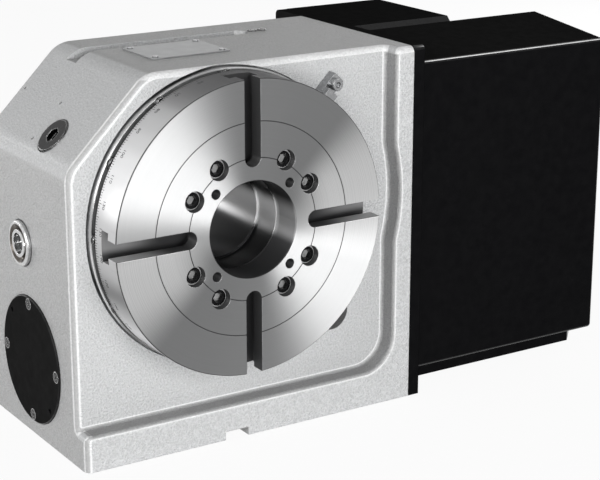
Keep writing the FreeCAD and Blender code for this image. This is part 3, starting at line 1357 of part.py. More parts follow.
make_flange_plate()
group("flange_plate_screws", [
    sunk_screw(V(size("plate_right_x"), size(across), size(height)), V(1, 0, 0),
               size("plate_screw_r"), size("plate_screw_length"))
    for across, height in plate_screw_places
])


def make_hood():
    """Motor cover bent from sheet, its roof rising to the back."""
    body = new_body("motor_cover")
    outside = new_sketch(body, "YZ_Plane", ("0", "0", "plate_right_x"))
    add_loop(outside, [
        ("hood_front_y", "hood_base_z"),
        ("hood_back_y", "hood_base_z"),
        ("hood_back_y", "hood_high_z"),
        ("hood_front_y", "hood_low_z"),
    ])
    pad(body, outside, "hood_end_x - plate_right_x")
    start = size("plate_right_x")

    def bend(middle, edge):
        at_mouth = near(middle.x, start)
        at_back = near(middle.y, size("hood_back_y"))
        return not at_mouth and not at_back

    soften(body, "Fillet", "sheet_bend", bend)
    inside = new_sketch(body, "YZ_Plane", ("0", "0", "plate_right_x"))
    wall = "sheet_thick"
    slope = "((hood_high_z - hood_low_z) / (hood_back_y - hood_front_y))"
    roof = f"{wall} * sqrt(1 + {slope} ^ 2)"
    add_loop(inside, [
        (f"hood_front_y + {wall}", f"hood_base_z + {wall}"),
        (f"hood_back_y - {wall}", f"hood_base_z + {wall}"),
        (f"hood_back_y - {wall}", f"hood_high_z - {slope} * {wall} - {roof}"),
        (f"hood_front_y + {wall}", f"hood_low_z + {slope} * {wall} - {roof}"),
    ])
    pocket(body, inside, f"hood_end_x - plate_right_x - {wall}", back=True)
    below = new_sketch(body, "XY_Plane", ("0", "0", "hood_base_z"))
    add_box(below, "plate_right_x - 1", "hood_front_y + hood_lip",
            "hood_end_x - hood_lip", "hood_back_y - hood_lip")
    pocket(body, below, wall, back=True)
    behind = new_sketch(body, "XZ_Plane", ("0", "0", "0 - hood_back_y"))
    add_box(behind, "plate_right_x - 1", "hood_base_z - 1",
            "box_end_x - hood_flange", "hood_high_z - hood_flange")
    pocket(body, behind, f"{wall}", back=True)
    return body


def make_rear_box():
    """Sheet box behind the motor cover, open towards it and to the flange plate."""
    body = new_body("rear_box")
    outside = new_sketch(body, "YZ_Plane", ("0", "0", "plate_right_x"))
    add_loop(outside, [
        ("hood_back_y", "hood_base_z"),
        ("plate_back_y", "hood_base_z"),
        ("plate_back_y", "case_top"),
        ("hood_back_y + box_bevel", "case_top"),
        ("hood_back_y", "case_top - box_bevel"),
    ])
    pad(body, outside, "box_end_x - plate_right_x")
    back = size("plate_back_y")
    end = size("box_end_x")

    def bend(middle, edge):
        upright = near(middle.x, end) and near(middle.y, back)
        along_top = near(middle.z, size("case_top")) and middle.y > back - 1
        return upright or along_top

    soften(body, "Fillet", "sheet_bend", bend)
    inside = new_sketch(body, "YZ_Plane", ("0", "0", "plate_right_x"))
    wall = "sheet_thick"
    add_loop(inside, [
        (f"hood_back_y + {wall}", f"hood_base_z + {wall}"),
        (f"plate_back_y - {wall}", f"hood_base_z + {wall}"),
        (f"plate_back_y - {wall}", f"case_top - {wall}"),
        (f"hood_back_y + box_bevel + {wall} / 2", f"case_top - {wall}"),
        (f"hood_back_y + {wall}", f"case_top - box_bevel - {wall} / 2"),
    ])
    pocket(body, inside, f"box_end_x - plate_right_x - {wall}", back=True)
    below = new_sketch(body, "XY_Plane", ("0", "0", "hood_base_z"))
    add_box(below, "plate_right_x - 1", "hood_back_y - 1", "box_end_x - hood_lip", "plate_back_y - hood_lip")
    pocket(body, below, wall, back=True)
    before = new_sketch(body, "XZ_Plane", ("0", "0", "0 - hood_back_y"))
    add_box(before, "plate_right_x - 1", "hood_base_z - 1",
            "box_end_x - hood_flange", "hood_high_z - hood_flange")
    pocket(body, before, wall)
    fittings = new_sketch(body, "XZ_Plane", ("0", "0", "0 - plate_back_y"))
    add_circle(fittings, "fitting_x", "power_z", "power_r + screw_gap")
    add_circle(fittings, "fitting_x", "air_z", "air_r + screw_gap")
    pocket(body, fittings, wall, back=True)
    return body


make_hood()
make_rear_box()

strip = new_body("cover_base_plate")
strip_outline = new_sketch(strip, "XY_Plane", ("0", "0", "strip_base_z"))
add_loop(strip_outline, [
    ("plate_right_x", "strip_front_y"),
    ("hood_end_x - strip_inset - strip_corner", "strip_front_y"),
    ("hood_end_x - strip_inset", "strip_front_y + strip_corner"),
    ("hood_end_x - strip_inset", "hood_back_y - 4"),
    ("box_end_x - 2", "hood_back_y - 4"),
    ("box_end_x - 2", "plate_back_y - 4"),
    ("plate_right_x", "plate_back_y - 4"),
])
pad(strip, strip_outline, "hood_base_z - strip_base_z")
lip_middle = "(strip_front_y + hood_front_y + hood_lip) / 2"
cover_screw_places = [
    ("plate_right_x + 17", lip_middle),
    ("box_end_x - 8", lip_middle),
    ("hood_end_x - strip_inset - strip_corner - 4", lip_middle),
    ("hood_end_x - strip_inset - 8", "hood_back_y - 12"),
    ("box_end_x - 10", "plate_back_y - 12"),
    ("plate_right_x + 17", "plate_back_y - 12"),
]
strip_holes = new_sketch(strip, "XY_Plane", ("0", "0", "strip_base_z"))
strip_sinks = new_sketch(strip, "XY_Plane", ("0", "0", "strip_base_z"))
for across, deep in cover_screw_places:
    add_circle(strip_holes, across, deep, "lip_screw_r + screw_gap")
    add_circle(strip_sinks, across, deep, "2 * lip_screw_r")
pocket(strip, strip_holes, back=True)
pocket(strip, strip_sinks, "2 * lip_screw_r", back=True)
for name, places in (("motor_cover", cover_screw_places[:4]), ("rear_box", cover_screw_places[4:])):
    shell = doc.getObject(name)
    holes = new_sketch(shell, "XY_Plane", ("0", "0", "hood_base_z"))
    for across, deep in places:
        add_circle(holes, across, deep, "lip_screw_r")
    pocket(shell, holes, "sheet_thick", back=True)
group("cover_screws", [
    cap_screw(V(size(across), size(deep), size("strip_base_z + 2 * lip_screw_r")), V(0, 0, -1),
              size("lip_screw_r"), size("lip_screw_length"))
    for across, deep in cover_screw_places
])

valve = new_body("clamp_valve")
valve_outline = new_sketch(valve, "YZ_Plane", ("0", "0", "plate_right_x"))
add_box(valve_outline, "valve_y - valve_half", "valve_z - valve_tall / 2",
        "valve_y + valve_half", "valve_z + valve_tall / 2")
pad(valve, valve_outline, "valve_wide")
coil_outline = new_sketch(valve, "YZ_Plane", ("0", "0", "plate_right_x + valve_wide"))
add_circle(coil_outline, "valve_y", "valve_z + valve_tall / 8", "coil_r")
pad(valve, coil_outline, "coil_long")
ports_outline = new_sketch(valve, "YZ_Plane", ("0", "0", "plate_right_x + valve_wide"))
add_circle(ports_outline, "valve_y", "valve_z - valve_tall / 4", "port_r")
pocket(valve, ports_outline, "port_depth")


def behind_box(height):
    """Seat for a fitting on the back of the rear box, local Z pointing back."""
    def seat(item):
        item.Placement = Place(V(0, 0, 0), Turn(V(1, 0, 0), -90))
        item.setExpression("Placement.Base.x", bound("fitting_x"))
        item.setExpression("Placement.Base.y", bound("plate_back_y"))
        item.setExpression("Placement.Base.z", bound(height))
    return seat


turned("power_connector", [
    ("0", "0 - fitting_in"),
    ("power_r", "0 - fitting_in"),
    ("power_r", "0"),
    ("power_r + 5", "0"),
    ("power_r + 5", "4"),
    ("power_r + 1", "4"),
    ("power_r + 1", "power_long"),
    ("power_r - 1", "power_long"),
    ("power_r - 1", "6"),
    ("0", "6"),
], behind_box("power_z"))
turned("air_inlet", [
    ("air_bore_r", "0 - fitting_in"),
    ("air_r", "0 - fitting_in"),
    ("air_r", "0"),
    ("air_r + 3", "0"),
    ("air_r + 3", "6"),
    ("air_r", "6"),
    ("air_r", "air_long - edge_break"),
    ("air_r - edge_break", "air_long"),
    ("air_bore_r", "air_long"),
], behind_box("air_z"))


# Small fittings on the casting

glass_front = "case_left + 1"
glass_back = "(case_left + 1 + glass_thick)"
turned("sight_glass_bezel", [
    ("glass_lip_r", "case_left - bezel_proud"),
    ("glass_eye_r", "case_left - bezel_proud"),
    ("bezel_foot_r", "case_left - bezel_proud + bezel_dish"),
    ("bezel_dish_r", "case_left - bezel_proud"),
    ("bezel_r - edge_break", "case_left - bezel_proud"),
    ("bezel_r", "case_left - bezel_proud + edge_break"),
    ("bezel_r", "case_left + glass_sink"),
    ("glass_thread_r", "case_left + glass_sink"),
    ("glass_thread_r", "case_left + bezel_long"),
    ("glass_r", "case_left + bezel_long"),
    ("glass_r", glass_front),
    ("glass_lip_r", glass_front),
], on_glass)
ring("sight_glass_lens", "0", "glass_r", glass_front, glass_back, on_glass)
ring("sight_glass_gasket", "glass_lip_r", "glass_r", glass_back, f"{glass_back} + gasket_thick", on_glass)


def on_bevel(item):
    """Local Z stands square on the bevel, over the oil-fill recess."""
    item.Placement = Place(V(0, 0, 0), Turn(V(0, 1, 0), -45))
    item.setExpression("Placement.Base.x", bound("case_left + bevel_size / 2 + fill_u * cos(45 deg)"))
    item.setExpression("Placement.Base.y", bound("fill_y"))
    item.setExpression("Placement.Base.z", bound("case_top - bevel_size / 2 + fill_u * sin(45 deg)"))


def add_hex(sketch, across):
    flat = f"({across} / 2)"
    corner = f"({across} / sqrt(3))"
    half = f"({across} / sqrt(3) / 2)"
    add_loop(sketch, [
        (corner, "0"), (half, flat), (f"0 - {half}", flat),
        (f"0 - {corner}", "0"), (f"0 - {half}", f"0 - {flat}"), (half, f"0 - {flat}"),
    ])


def socket_plug(label, head_r, base, top, thread_r, end, hex_size, seat):
    """Screw plug with a flat round head and a hex socket."""
    body = turned(label, [
        ("0", end), (thread_r, end), (thread_r, base), (head_r, base),
        (head_r, f"{top} - edge_break"), (f"{head_r} - edge_break", top), ("0", top),
    ], seat)
    socket = new_sketch(body, "XY_Plane", ("0", "0", top))
    add_hex(socket, hex_size)
    pocket(body, socket, "socket_depth")
    return body


socket_plug("oil_fill_plug", "fill_r", "0 - fill_sink", "fill_proud", "fill_thread_r",
            "2 - fill_depth", "fill_socket", on_bevel)


def on_drain(item):
    item.Placement = Place(V(0, 0, 0), Turn(V(1, 0, 0), -90))
    item.setExpression("Placement.Base.x", bound("drain_x"))
    item.setExpression("Placement.Base.y", bound("case_depth"))
    item.setExpression("Placement.Base.z", bound("drain_z"))


socket_plug("drain_plug", "drain_head_r", "0", "drain_head", "drain_r",
            "2 - drain_depth", "drain_r", on_drain)

pointer = new_body("pointer_block")
pointer_outline = new_sketch(pointer, "XY_Plane")
add_loop(pointer_outline, [
    ("pointer_in_r", "0"),
    ("pointer_in_r", "2 * pointer_point - pointer_tall"),
    ("pointer_tip_r", "pointer_point - pointer_tall"),
    ("pointer_in_r", "0 - pointer_tall"),
    ("pointer_in_r + pointer_nose", "0 - pointer_tall"),
    ("pointer_in_r + pointer_nose", "0 - pointer_low"),
    ("pointer_out_r", "0 - pointer_low"),
    ("pointer_out_r", "0"),
])
pad(pointer, pointer_outline, "pointer_width", both=True)
pointer_hole = new_sketch(pointer, "XZ_Plane")
add_circle(pointer_hole, "pointer_screw_at", "0", "pointer_screw_r + screw_gap")
pocket(pointer, pointer_hole, both=True)
pointer.Placement = Place(V(0, 0, 0), Turn(V(0, 1, 0), -size("pointer_angle")))
pointer.setExpression("Placement.Base.z", bound("centre_height"))
group("pointer_screw", [
    cap_screw(about_spindle(size("pointer_screw_at"), size("pointer_angle"), -size("pointer_low")),
              V(0, -1, 0), size("pointer_screw_r"), size("pointer_screw_length"))
])

nameplate = new_body("nameplate")
plate_outline = new_sketch(nameplate, "XY_Plane", ("0", "0", "case_top"))
add_box(plate_outline, "plate_left_x", "plate_front_y", "plate_left_x + plate_wide",
        "plate_front_y + plate_long")
pad(nameplate, plate_outline, "plate_thick")
plate_corners = [
    (size("plate_left_x + pin_inset") + across * size("plate_wide - 2 * pin_inset"),
     size("plate_front_y + pin_inset") + deep * size("plate_long - 2 * pin_inset"))
    for across in (0, 1) for deep in (0, 1)
]
group("nameplate_screws", [
    Part.makeCylinder(size("pin_r"), size("pin_head"), V(across, deep, size("case_top + plate_thick")))
    for across, deep in plate_corners
])
group("port_plugs", [
    cap_screw(V(size("port_x") + step * size("port_step"), size("channel_y"), size("case_top")),
              V(0, 0, 1), size("port_plug_r"), size("port_plug_length"), size("plug_head"))
    for step in (0, 1)
])


# Every piece is checked, then written to its own file

doc.recompute()
os.makedirs("parts", exist_ok=True)
for item in doc.Objects:
    if "Invalid" in item.State or "Error" in item.State:
        raise ValueError(f"{item.Label} is not sound: {item.State}")
for piece in pieces:
    if piece.Shape.isNull() or not piece.Shape.isValid():
        raise ValueError(f"{piece.Label} has no valid shape")
    piece.Shape.exportStep(f"parts/{piece.Label}.step")
print(len(pieces), "pieces written")
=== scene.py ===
import json
import math

import bpy
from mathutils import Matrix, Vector


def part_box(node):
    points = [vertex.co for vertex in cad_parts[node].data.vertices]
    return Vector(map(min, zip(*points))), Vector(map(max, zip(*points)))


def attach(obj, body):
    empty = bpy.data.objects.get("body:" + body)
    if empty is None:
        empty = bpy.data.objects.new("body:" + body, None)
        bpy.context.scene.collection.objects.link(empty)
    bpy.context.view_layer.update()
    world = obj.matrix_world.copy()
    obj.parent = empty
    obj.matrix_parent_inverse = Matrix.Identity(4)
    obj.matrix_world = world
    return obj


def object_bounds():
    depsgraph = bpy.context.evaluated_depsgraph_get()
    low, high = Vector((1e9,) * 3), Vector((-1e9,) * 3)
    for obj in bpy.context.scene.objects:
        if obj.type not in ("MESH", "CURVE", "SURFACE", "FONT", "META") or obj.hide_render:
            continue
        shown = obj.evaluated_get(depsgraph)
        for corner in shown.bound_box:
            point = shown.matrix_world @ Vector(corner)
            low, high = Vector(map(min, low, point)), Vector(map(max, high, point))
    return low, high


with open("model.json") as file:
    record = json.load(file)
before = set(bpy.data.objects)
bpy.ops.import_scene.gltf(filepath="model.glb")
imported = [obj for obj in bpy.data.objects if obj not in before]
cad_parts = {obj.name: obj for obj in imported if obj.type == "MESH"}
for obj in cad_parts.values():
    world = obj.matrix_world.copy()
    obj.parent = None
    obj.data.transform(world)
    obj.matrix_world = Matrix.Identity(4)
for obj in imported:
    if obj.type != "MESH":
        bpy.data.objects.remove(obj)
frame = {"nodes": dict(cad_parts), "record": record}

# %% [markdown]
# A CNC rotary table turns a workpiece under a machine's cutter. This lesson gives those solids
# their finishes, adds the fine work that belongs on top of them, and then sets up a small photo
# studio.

MM = 0.001
cad_low, cad_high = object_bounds()
nodes = frame["nodes"]
platter_low, platter_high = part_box("platter")
platter_r = (platter_high.x - platter_low.x) / 2
spindle_height = (platter_high.z + platter_low.z) / 2
face_y = platter_low.y
rim_back = -9 * MM
case_low, case_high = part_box("body_casting")
hood_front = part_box("motor_cover")[0].y
flange_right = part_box("flange_plate")[1].x
print("object size in mm:", [round(v / MM, 1) for v in cad_high - cad_low])
print("face plate radius in mm:", round(platter_r / MM, 2))

# %% [markdown]
# Every finish here is a node material: a Principled shader whose colour, roughness or bump comes
# from a procedural texture, so it has no image to lose. Wiring nodes line by line is wordy, so
# small helpers do it. They start a material, add a node, feed a socket, and do one sum on numbers
# or on vectors.

# %% Helpers that wire nodes
finishes = {}


def new_finish(slot):
    """An empty node material for one slot of the record, and its Principled shader."""
    material = bpy.data.materials.new(slot)
    material.use_nodes = True
    finishes[slot] = material
    return material, material.node_tree.nodes["Principled BSDF"]


def join(material, source, target):
    """Feed a socket from another socket, or set it to a plain value."""
    if isinstance(source, bpy.types.NodeSocket):
        material.node_tree.links.new(source, target)
    else:
        target.default_value = source


def add_node(material, kind, **settings):
    """A new node; settings named in_X fill the input socket X, others are properties."""
    node = material.node_tree.nodes.new(kind)
    for name, setting in settings.items():
        if name.startswith("in_"):
            join(material, setting, node.inputs[name[3:].replace("_", " ")])
        else:
            setattr(node, name, setting)
    return node


def set_shader(shader, **settings):
    """Plain values straight on the shader's own sockets."""
    for name, setting in settings.items():
        shader.inputs[name.replace("_", " ")].default_value = setting


def number_step(material, operation, first, second):
    """One sum on two numbers, each a socket or a plain value."""
    node = add_node(material, "ShaderNodeMath", operation=operation)
    join(material, first, node.inputs[0])
    join(material, second, node.inputs[1])
    return node.outputs["Value"]


def vector_step(material, operation, first, second=None, output="Vector"):
    """One sum on one or two vectors, each a socket or a plain value."""
    node = add_node(material, "ShaderNodeVectorMath", operation=operation)
    join(material, first, node.inputs[0])
    if second is not None:
        join(material, second, node.inputs[1])
    return node.outputs[output]


def parts_of(material, vector):
    """The X, Y and Z numbers of a vector socket."""
    return add_node(material, "ShaderNodeSeparateXYZ", in_Vector=vector).outputs


print("wiring helpers ready")

# %% [markdown]
# Most finishes depend on where the surface lies and on which way it faces. Both are asked for in
# the part's own frame, so a finish moves along with its solid. Noise makes colour and shine
# uneven, a bump bends the light as a rough surface does, and the bevel node rounds each sharp edge
# by a fraction of a millimetre, like a file, without touching the mesh.

# %% Helpers for texture and relief
MIX_FIRST, MIX_SECOND, MIX_RESULT = 6, 7, 2


def place_of(material):
    """The point being shaded, in the part's own frame, in metres."""
    return add_node(material, "ShaderNodeTexCoord").outputs["Object"]


def facing_of(material):
    """The direction of the surface, in the part's own frame."""
    return add_node(material, "ShaderNodeTexCoord").outputs["Normal"]


def grain(material, scale, detail=2.0, roughness=0.5, place=None):
    """Cloudy noise, about 1/scale metres from lump to lump."""
    node = add_node(material, "ShaderNodeTexNoise", in_Scale=scale, in_Detail=detail,
                    in_Roughness=roughness)
    join(material, place_of(material) if place is None else place, node.inputs["Vector"])
    return node.outputs["Fac"]


def ramp_between(material, source, low, high):
    """Stretch the middle of a texture, from 0.3 to 0.7, between two values."""
    return add_node(material, "ShaderNodeMapRange", in_Value=source, in_From_Min=0.3,
                    in_From_Max=0.7, in_To_Min=low, in_To_Max=high).outputs["Result"]


def blend_colours(material, share, first, second):
    """Fade one colour into another by a share."""
    node = add_node(material, "ShaderNodeMix", data_type="RGBA", in_Factor=share)
    join(material, first, node.inputs[MIX_FIRST])
    join(material, second, node.inputs[MIX_SECOND])
    return node.outputs[MIX_RESULT]


def tint_between(material, source, dark, light):
    """Blend two fixed colours by a texture."""
    return blend_colours(material, source, (*dark, 1), (*light, 1))


def bump_from(material, source, depth, strength=1.0):
    """Normal pushed in and out by a texture, depth in metres."""
    return add_node(material, "ShaderNodeBump", in_Height=source, in_Distance=depth,
                    in_Strength=strength)


def softened(material, radius, bump=None):
    """Normal that rounds every sharp edge a little, so that it catches the light."""
    rounded = add_node(material, "ShaderNodeBevel", samples=4, in_Radius=radius).outputs["Normal"]
    if bump is None:
        return rounded
    join(material, rounded, bump.inputs["Normal"])
    return bump.outputs["Normal"]


print("texture helpers ready")

# %% [markdown]
# A share is a number from 0 to 1 that says how much of another tone shows at a point: 1 inside a
# slot, 0 on the face beside it, and a smooth step between them. Shares are multiplied where
# several things must be true, and the larger one counts where either will do. That lets one
# material carry many tones without cutting the mesh apart.

# %% Helpers for shares
def share_above(material, source, start, end):
    """Smooth step from 0 at start to 1 at end; start may be the larger of the two."""
    return add_node(material, "ShaderNodeMapRange", interpolation_type="SMOOTHSTEP",
                    in_Value=source, in_From_Min=start, in_From_Max=end).outputs["Result"]


def product(material, first, *others):
    """1 only where every share is 1."""
    for share in others:
        first = number_step(material, "MULTIPLY", first, share)
    return first


def larger(material, first, second):
    """1 where either share is 1."""
    return number_step(material, "MAXIMUM", first, second)


def opposite(material, share):
    """1 where a share is 0."""
    return share_above(material, share, 1.0, 0.0)


def flatness_of(material, slope=None):
    """1 where the surface faces along an axis, or along a slope; less on rounded edges."""
    normal = facing_of(material)
    lean = parts_of(material, vector_step(material, "ABSOLUTE", normal))
    flatness = larger(material, larger(material, lean["X"], lean["Y"]), lean["Z"])
    if slope:
        along = vector_step(material, "DOT_PRODUCT", normal, slope, "Value")
        flatness = larger(material, flatness, along)
    return flatness


print("share helpers ready")

# %% [markdown]
# The paint starts with the shares of the casting: its rounded front edges, the step around the
# front panel, the blind hole behind the face plate, and the faces that look up or to the left. A
# rounded edge gives itself away because it faces along no axis. The light rolls over the step more
# broadly than its small fillets alone would show, so there the direction is read from a bevel node
# with a larger radius.

# %% Edges, step and hole of the casting
BEVEL_SLOPE = (-0.7071, 0, 0.7071)
step_roll = 3.5 * MM
hole_middle = Vector((86.5, 0, 71)) * MM
hole_inside, hole_outside = 23 * MM, 25 * MM
material, shader = new_finish("paint")
place = parts_of(material, place_of(material))
facing = parts_of(material, facing_of(material))
to_front = share_above(material, facing["Y"], -0.10, -0.20)
# Painted shade: the top and the left face are darker.
top_painted_shade = share_above(material, facing["Z"], 0.95, 0.99)
left_painted_shade = share_above(material, facing["X"], -0.97, -0.995)
on_bevel = product(material, share_above(material, facing["X"], -0.4, -0.6),
                   share_above(material, facing["Z"], 0.4, 0.6))
flatness = flatness_of(material, BEVEL_SLOPE)
below_top = share_above(material, place["Z"], case_high.z - 3.5 * MM, case_high.z - 5 * MM)
# Painted highlights: fine bright lines along the rounded front edges; painted shade in the band
# between them.
edge_painted_highlight = product(material, share_above(material, flatness, 0.992, 0.975), to_front)
edge_painted_shade_band = product(material, share_above(material, flatness, 0.93, 0.86), to_front, below_top)
in_step = share_above(material, place["Y"], -0.2 * MM, -1.2 * MM)
for axis, limit, fade in (("X", case_low.x + 5 * MM, MM), ("X", case_high.x - 5 * MM, -MM),
                          ("Z", case_low.z + 5 * MM, MM), ("Z", case_high.z - 4 * MM, -MM)):
    inside = share_above(material, place[axis], limit, limit + fade)
    in_step = product(material, in_step, inside)
rolled = parts_of(material, softened(material, step_roll))
# Painted shade on the walls of the step, and a painted highlight on its lip.
step_wall_painted_shade = product(material, in_step, share_above(material, rolled["Y"], -0.96, -0.35))
step_lip_painted_highlight = product(material, in_step, share_above(material, rolled["Y"], -0.999, -0.93))
# Painted shade inside the blind hole behind the face plate.
from_hole = vector_step(material, "DISTANCE", place_of(material), hole_middle, "Value")
hole_painted_shade = product(material, share_above(material, from_hole, hole_outside, hole_inside),
                  share_above(material, place["Y"], 0.2 * MM, MM))
print("shares of the casting:", len(material.node_tree.nodes), "nodes")

# %% [markdown]
# The casting wears a silver-grey paint that dries into small pebbles, which hides the sand-cast
# skin below. Real displacement would need millions of faces on a part this size, so a bump from
# one noise gives the same broken highlights. Along the edges the photo shows two fine bright lines
# with a darker band between them, and one broad bright line at the top; the walls of the step are
# darker, and so are the top and the left face. A table holds those tones, and a loop lays them
# over each other in turn.

# %% Pebbled paint on the casting
pebbles = grain(material, 740, detail=3.0, roughness=0.6)
# Rows: painted shade on the top and left faces, the edge band, the step walls and the blind hole;
# painted highlights on the step lip and the edge lines.
painted_light_tones = ((top_painted_shade, 0.20, 0.58), (left_painted_shade, 0.24, 0.70), (step_lip_painted_highlight, 0.58, 0.98),
               (edge_painted_highlight, 0.62, 0.98), (edge_painted_shade_band, 0.28, 0.58), (step_wall_painted_shade, 0.17, 0.46),
               (hole_painted_shade, 0.12, 0.34))
colour = tint_between(material, pebbles, (0.30, 0.305, 0.31), (0.84, 0.845, 0.85))
for share, dark, light in painted_light_tones:
    tone = tint_between(material, pebbles, (dark, dark * 1.01, dark * 1.02), (light,) * 3)
    colour = blend_colours(material, share, colour, tone)
join(material, colour, shader.inputs["Base Color"])
join(material, ramp_between(material, pebbles, 0.36, 0.54), shader.inputs["Roughness"])
paint_bump = bump_from(material, pebbles, 1.2 * MM)
calm = larger(material, edge_painted_shade_band, on_bevel)
join(material, ramp_between(material, calm, 1.0, 0.45), paint_bump.inputs["Strength"])
join(material, softened(material, 0.6 * MM, paint_bump), shader.inputs["Normal"])
set_shader(shader, Metallic=0.2, Specular_IOR_Level=0.4)
print("paint:", len(material.node_tree.nodes), "nodes")

# %% [markdown]
# The face plate is turned on a lathe, so the tool leaves fine rings around the spindle axis. Rings
# smear a highlight across themselves, into the bright fans one sees on any turned disc. The shader
# does that with anisotropy, as long as its tangent lies across the rings: one cross product gives
# the direction around the axis, a second one, with the surface normal, turns it across. A real
# studio has more bright panels than the few lamps used here, so the colour also brightens in fans,
# one through the plate and paler sectors beside it. They follow the place in the room and not the
# plate, so they stand still while it turns.

# %% Rings and fans around the spindle
FAN_LEAN = math.radians(155)
SIDE_LEAN = math.radians(10)
BORE_LEAN = math.radians(2)


def around_spindle(material):
    """Arm and distance from the spindle axis, and the direction across the tool rings."""
    surface = add_node(material, "ShaderNodeNewGeometry").outputs
    from_axis = vector_step(material, "SUBTRACT", surface["Position"], (0, 0, spindle_height))
    arm = vector_step(material, "MULTIPLY", from_axis, (1, 0, 1))
    radius = vector_step(material, "LENGTH", arm, output="Value")
    sweep = vector_step(material, "CROSS_PRODUCT", (0, 1, 0), arm)
    return arm, radius, vector_step(material, "CROSS_PRODUCT", surface["Normal"], sweep)


def fan_share(material, arm, lean, start, end):
    """1 near a line across the plate that leans by an angle, 0 square to it."""
    unit = vector_step(material, "NORMALIZE", arm)
    line = (math.cos(lean), 0, math.sin(lean))
    along = vector_step(material, "DOT_PRODUCT", unit, line, "Value")
    return share_above(material, product(material, along, along), start, end)


def beside_fan(material, arm, radius):
    """Paler painted reflections: 1 in the outer part of the sectors above the right slot and below
    the left one.
    """
    unit = parts_of(material, vector_step(material, "NORMALIZE", arm))
    sector = share_above(material, product(material, unit["X"], unit["Z"]), -0.06, 0.12)
    sector = larger(material, sector, share_above(material, unit["X"], 0.3, 0.6))
    outer = share_above(material, radius, 30 * MM, 65 * MM)
    return product(material, sector, outer, fan_share(material, arm, SIDE_LEAN, 0.66, 1.0))


print("fan leans by", round(math.degrees(FAN_LEAN)), "degrees")

# %% [markdown]
# Slots, holes and scribed lines get painted shade: depth behind the face darkens the colour. Walls
# that look up and the upper half of the floor in level slots get some painted light again. The
# centre bore is bare steel with one painted streak of light along it, stronger towards its far end.

# %% Slots, holes and bore of the face plate
bore_r = 33 * MM
back_r = 80 * MM
bolts_end_r, lit_slot_r = 56.5 * MM, 86 * MM


def cut_share(material, radius):
    """1 inside the slots, holes and scribed lines of the face plate, 0 on its face and rim."""
    depth = parts_of(material, place_of(material))["Y"]
    behind_face = share_above(material, depth, face_y + 0.02 * MM, face_y + 0.3 * MM)
    inside_rim = share_above(material, radius, platter_r - 0.02 * MM, platter_r - 0.1 * MM)
    back = product(material, share_above(material, depth, rim_back - MM, rim_back),
                   share_above(material, radius, back_r, back_r + 2 * MM))
    return product(material, behind_face, inside_rim, opposite(material, back))


def bore_streak(material, arm, streaks, depth):
    """Share of painted reflected light along the centre bore."""
    lit = product(material, ramp_between(material, streaks, 0.35, 1.0),
                  fan_share(material, arm, BORE_LEAN, 0.74, 1.0))
    farther = share_above(material, depth, face_y + 14 * MM, face_y + 30 * MM)
    return product(material, lit, ramp_between(material, farther, 0.4, 1.0))


def slot_tone(material, arm, radius, streaks, depth):
    """Painted shade in slots and holes; painted light on lips and floors outside the circle of
    bolts.
    """
    surface = add_node(material, "ShaderNodeNewGeometry").outputs
    upward = parts_of(material, surface["Normal"])["Z"]
    height = parts_of(material, arm)["Z"]
    below_scribes = share_above(material, depth, face_y + 0.6 * MM, face_y + MM)
    open_slot = product(material, share_above(material, radius, bolts_end_r, lit_slot_r),
                        below_scribes)
    floor_painted_light = product(material, share_above(material, height, -7.5 * MM, -1.5 * MM),
                          share_above(material, height, 12 * MM, 11.5 * MM), open_slot)
    # Painted shade in the slots, with painted light on the upper half of the floor in level slots.
    slot = tint_between(material, floor_painted_light, (0.03, 0.03, 0.031), (0.20, 0.20, 0.202))
    lip = tint_between(material, streaks, (0.36, 0.36, 0.362), (0.62, 0.62, 0.625))
    upward_wall_painted_light = product(material, share_above(material, upward, 0.2, 0.9), open_slot)
    return blend_colours(material, upward_wall_painted_light, slot, lip)


def deep_tone(material, arm, radius):
    """Colour of everything cut into the plate, painted shade and a painted bore streak, and the
    share of it that is not bare metal.
    """
    streaks = grain(material, 40, detail=1.0, place=arm)
    depth = parts_of(material, place_of(material))["Y"]
    lit = bore_streak(material, arm, streaks, depth)
    # Painted reflection: a bright streak along the dark bore.
    bore = tint_between(material, lit, (0.030, 0.030, 0.031), (0.85, 0.85, 0.855))
    slot = slot_tone(material, arm, radius, streaks, depth)
    outside = share_above(material, radius, bore_r, bore_r + 0.2 * MM)
    return blend_colours(material, outside, bore, slot), larger(material, outside, lit)


print("bore radius in mm:", round(bore_r / MM, 1))

# %% [markdown]
# The polished rim gets painted reflections of the room as soft patches, and a painted dark top,
# because the sky above is dim. One recipe then joins face, rim and cuts. The face plate and the
# ground rings, shafts and rollers inside the table differ only in colour, in roughness and in how
# far a highlight is smeared.

# %% Rim of the plate and the two turned steels
def rim_tone(material, arm, face_colour):
    """Painted reflections: soft light patches around the polished rim, and a painted dark upper end
    for the dim sky.
    """
    reflection_patch = ramp_between(material, grain(material, 22, detail=1.5, place=arm), 0.0, 1.0)
    # Painted reflection: light and dark patches, and a dark top for the dim sky.
    light = tint_between(material, reflection_patch, (0.20, 0.20, 0.202), (0.80, 0.80, 0.805))
    dim = tint_between(material, reflection_patch, (0.02, 0.02, 0.021), (0.14, 0.14, 0.142))
    surface = add_node(material, "ShaderNodeNewGeometry").outputs
    facing = parts_of(material, surface["Normal"])
    top = share_above(material, facing["Z"], 0.78, 0.96)
    off_face = share_above(material, facing["Y"], -0.5, -0.1)
    rim = blend_colours(material, top, light, dim)
    return blend_colours(material, off_face, face_colour, rim)


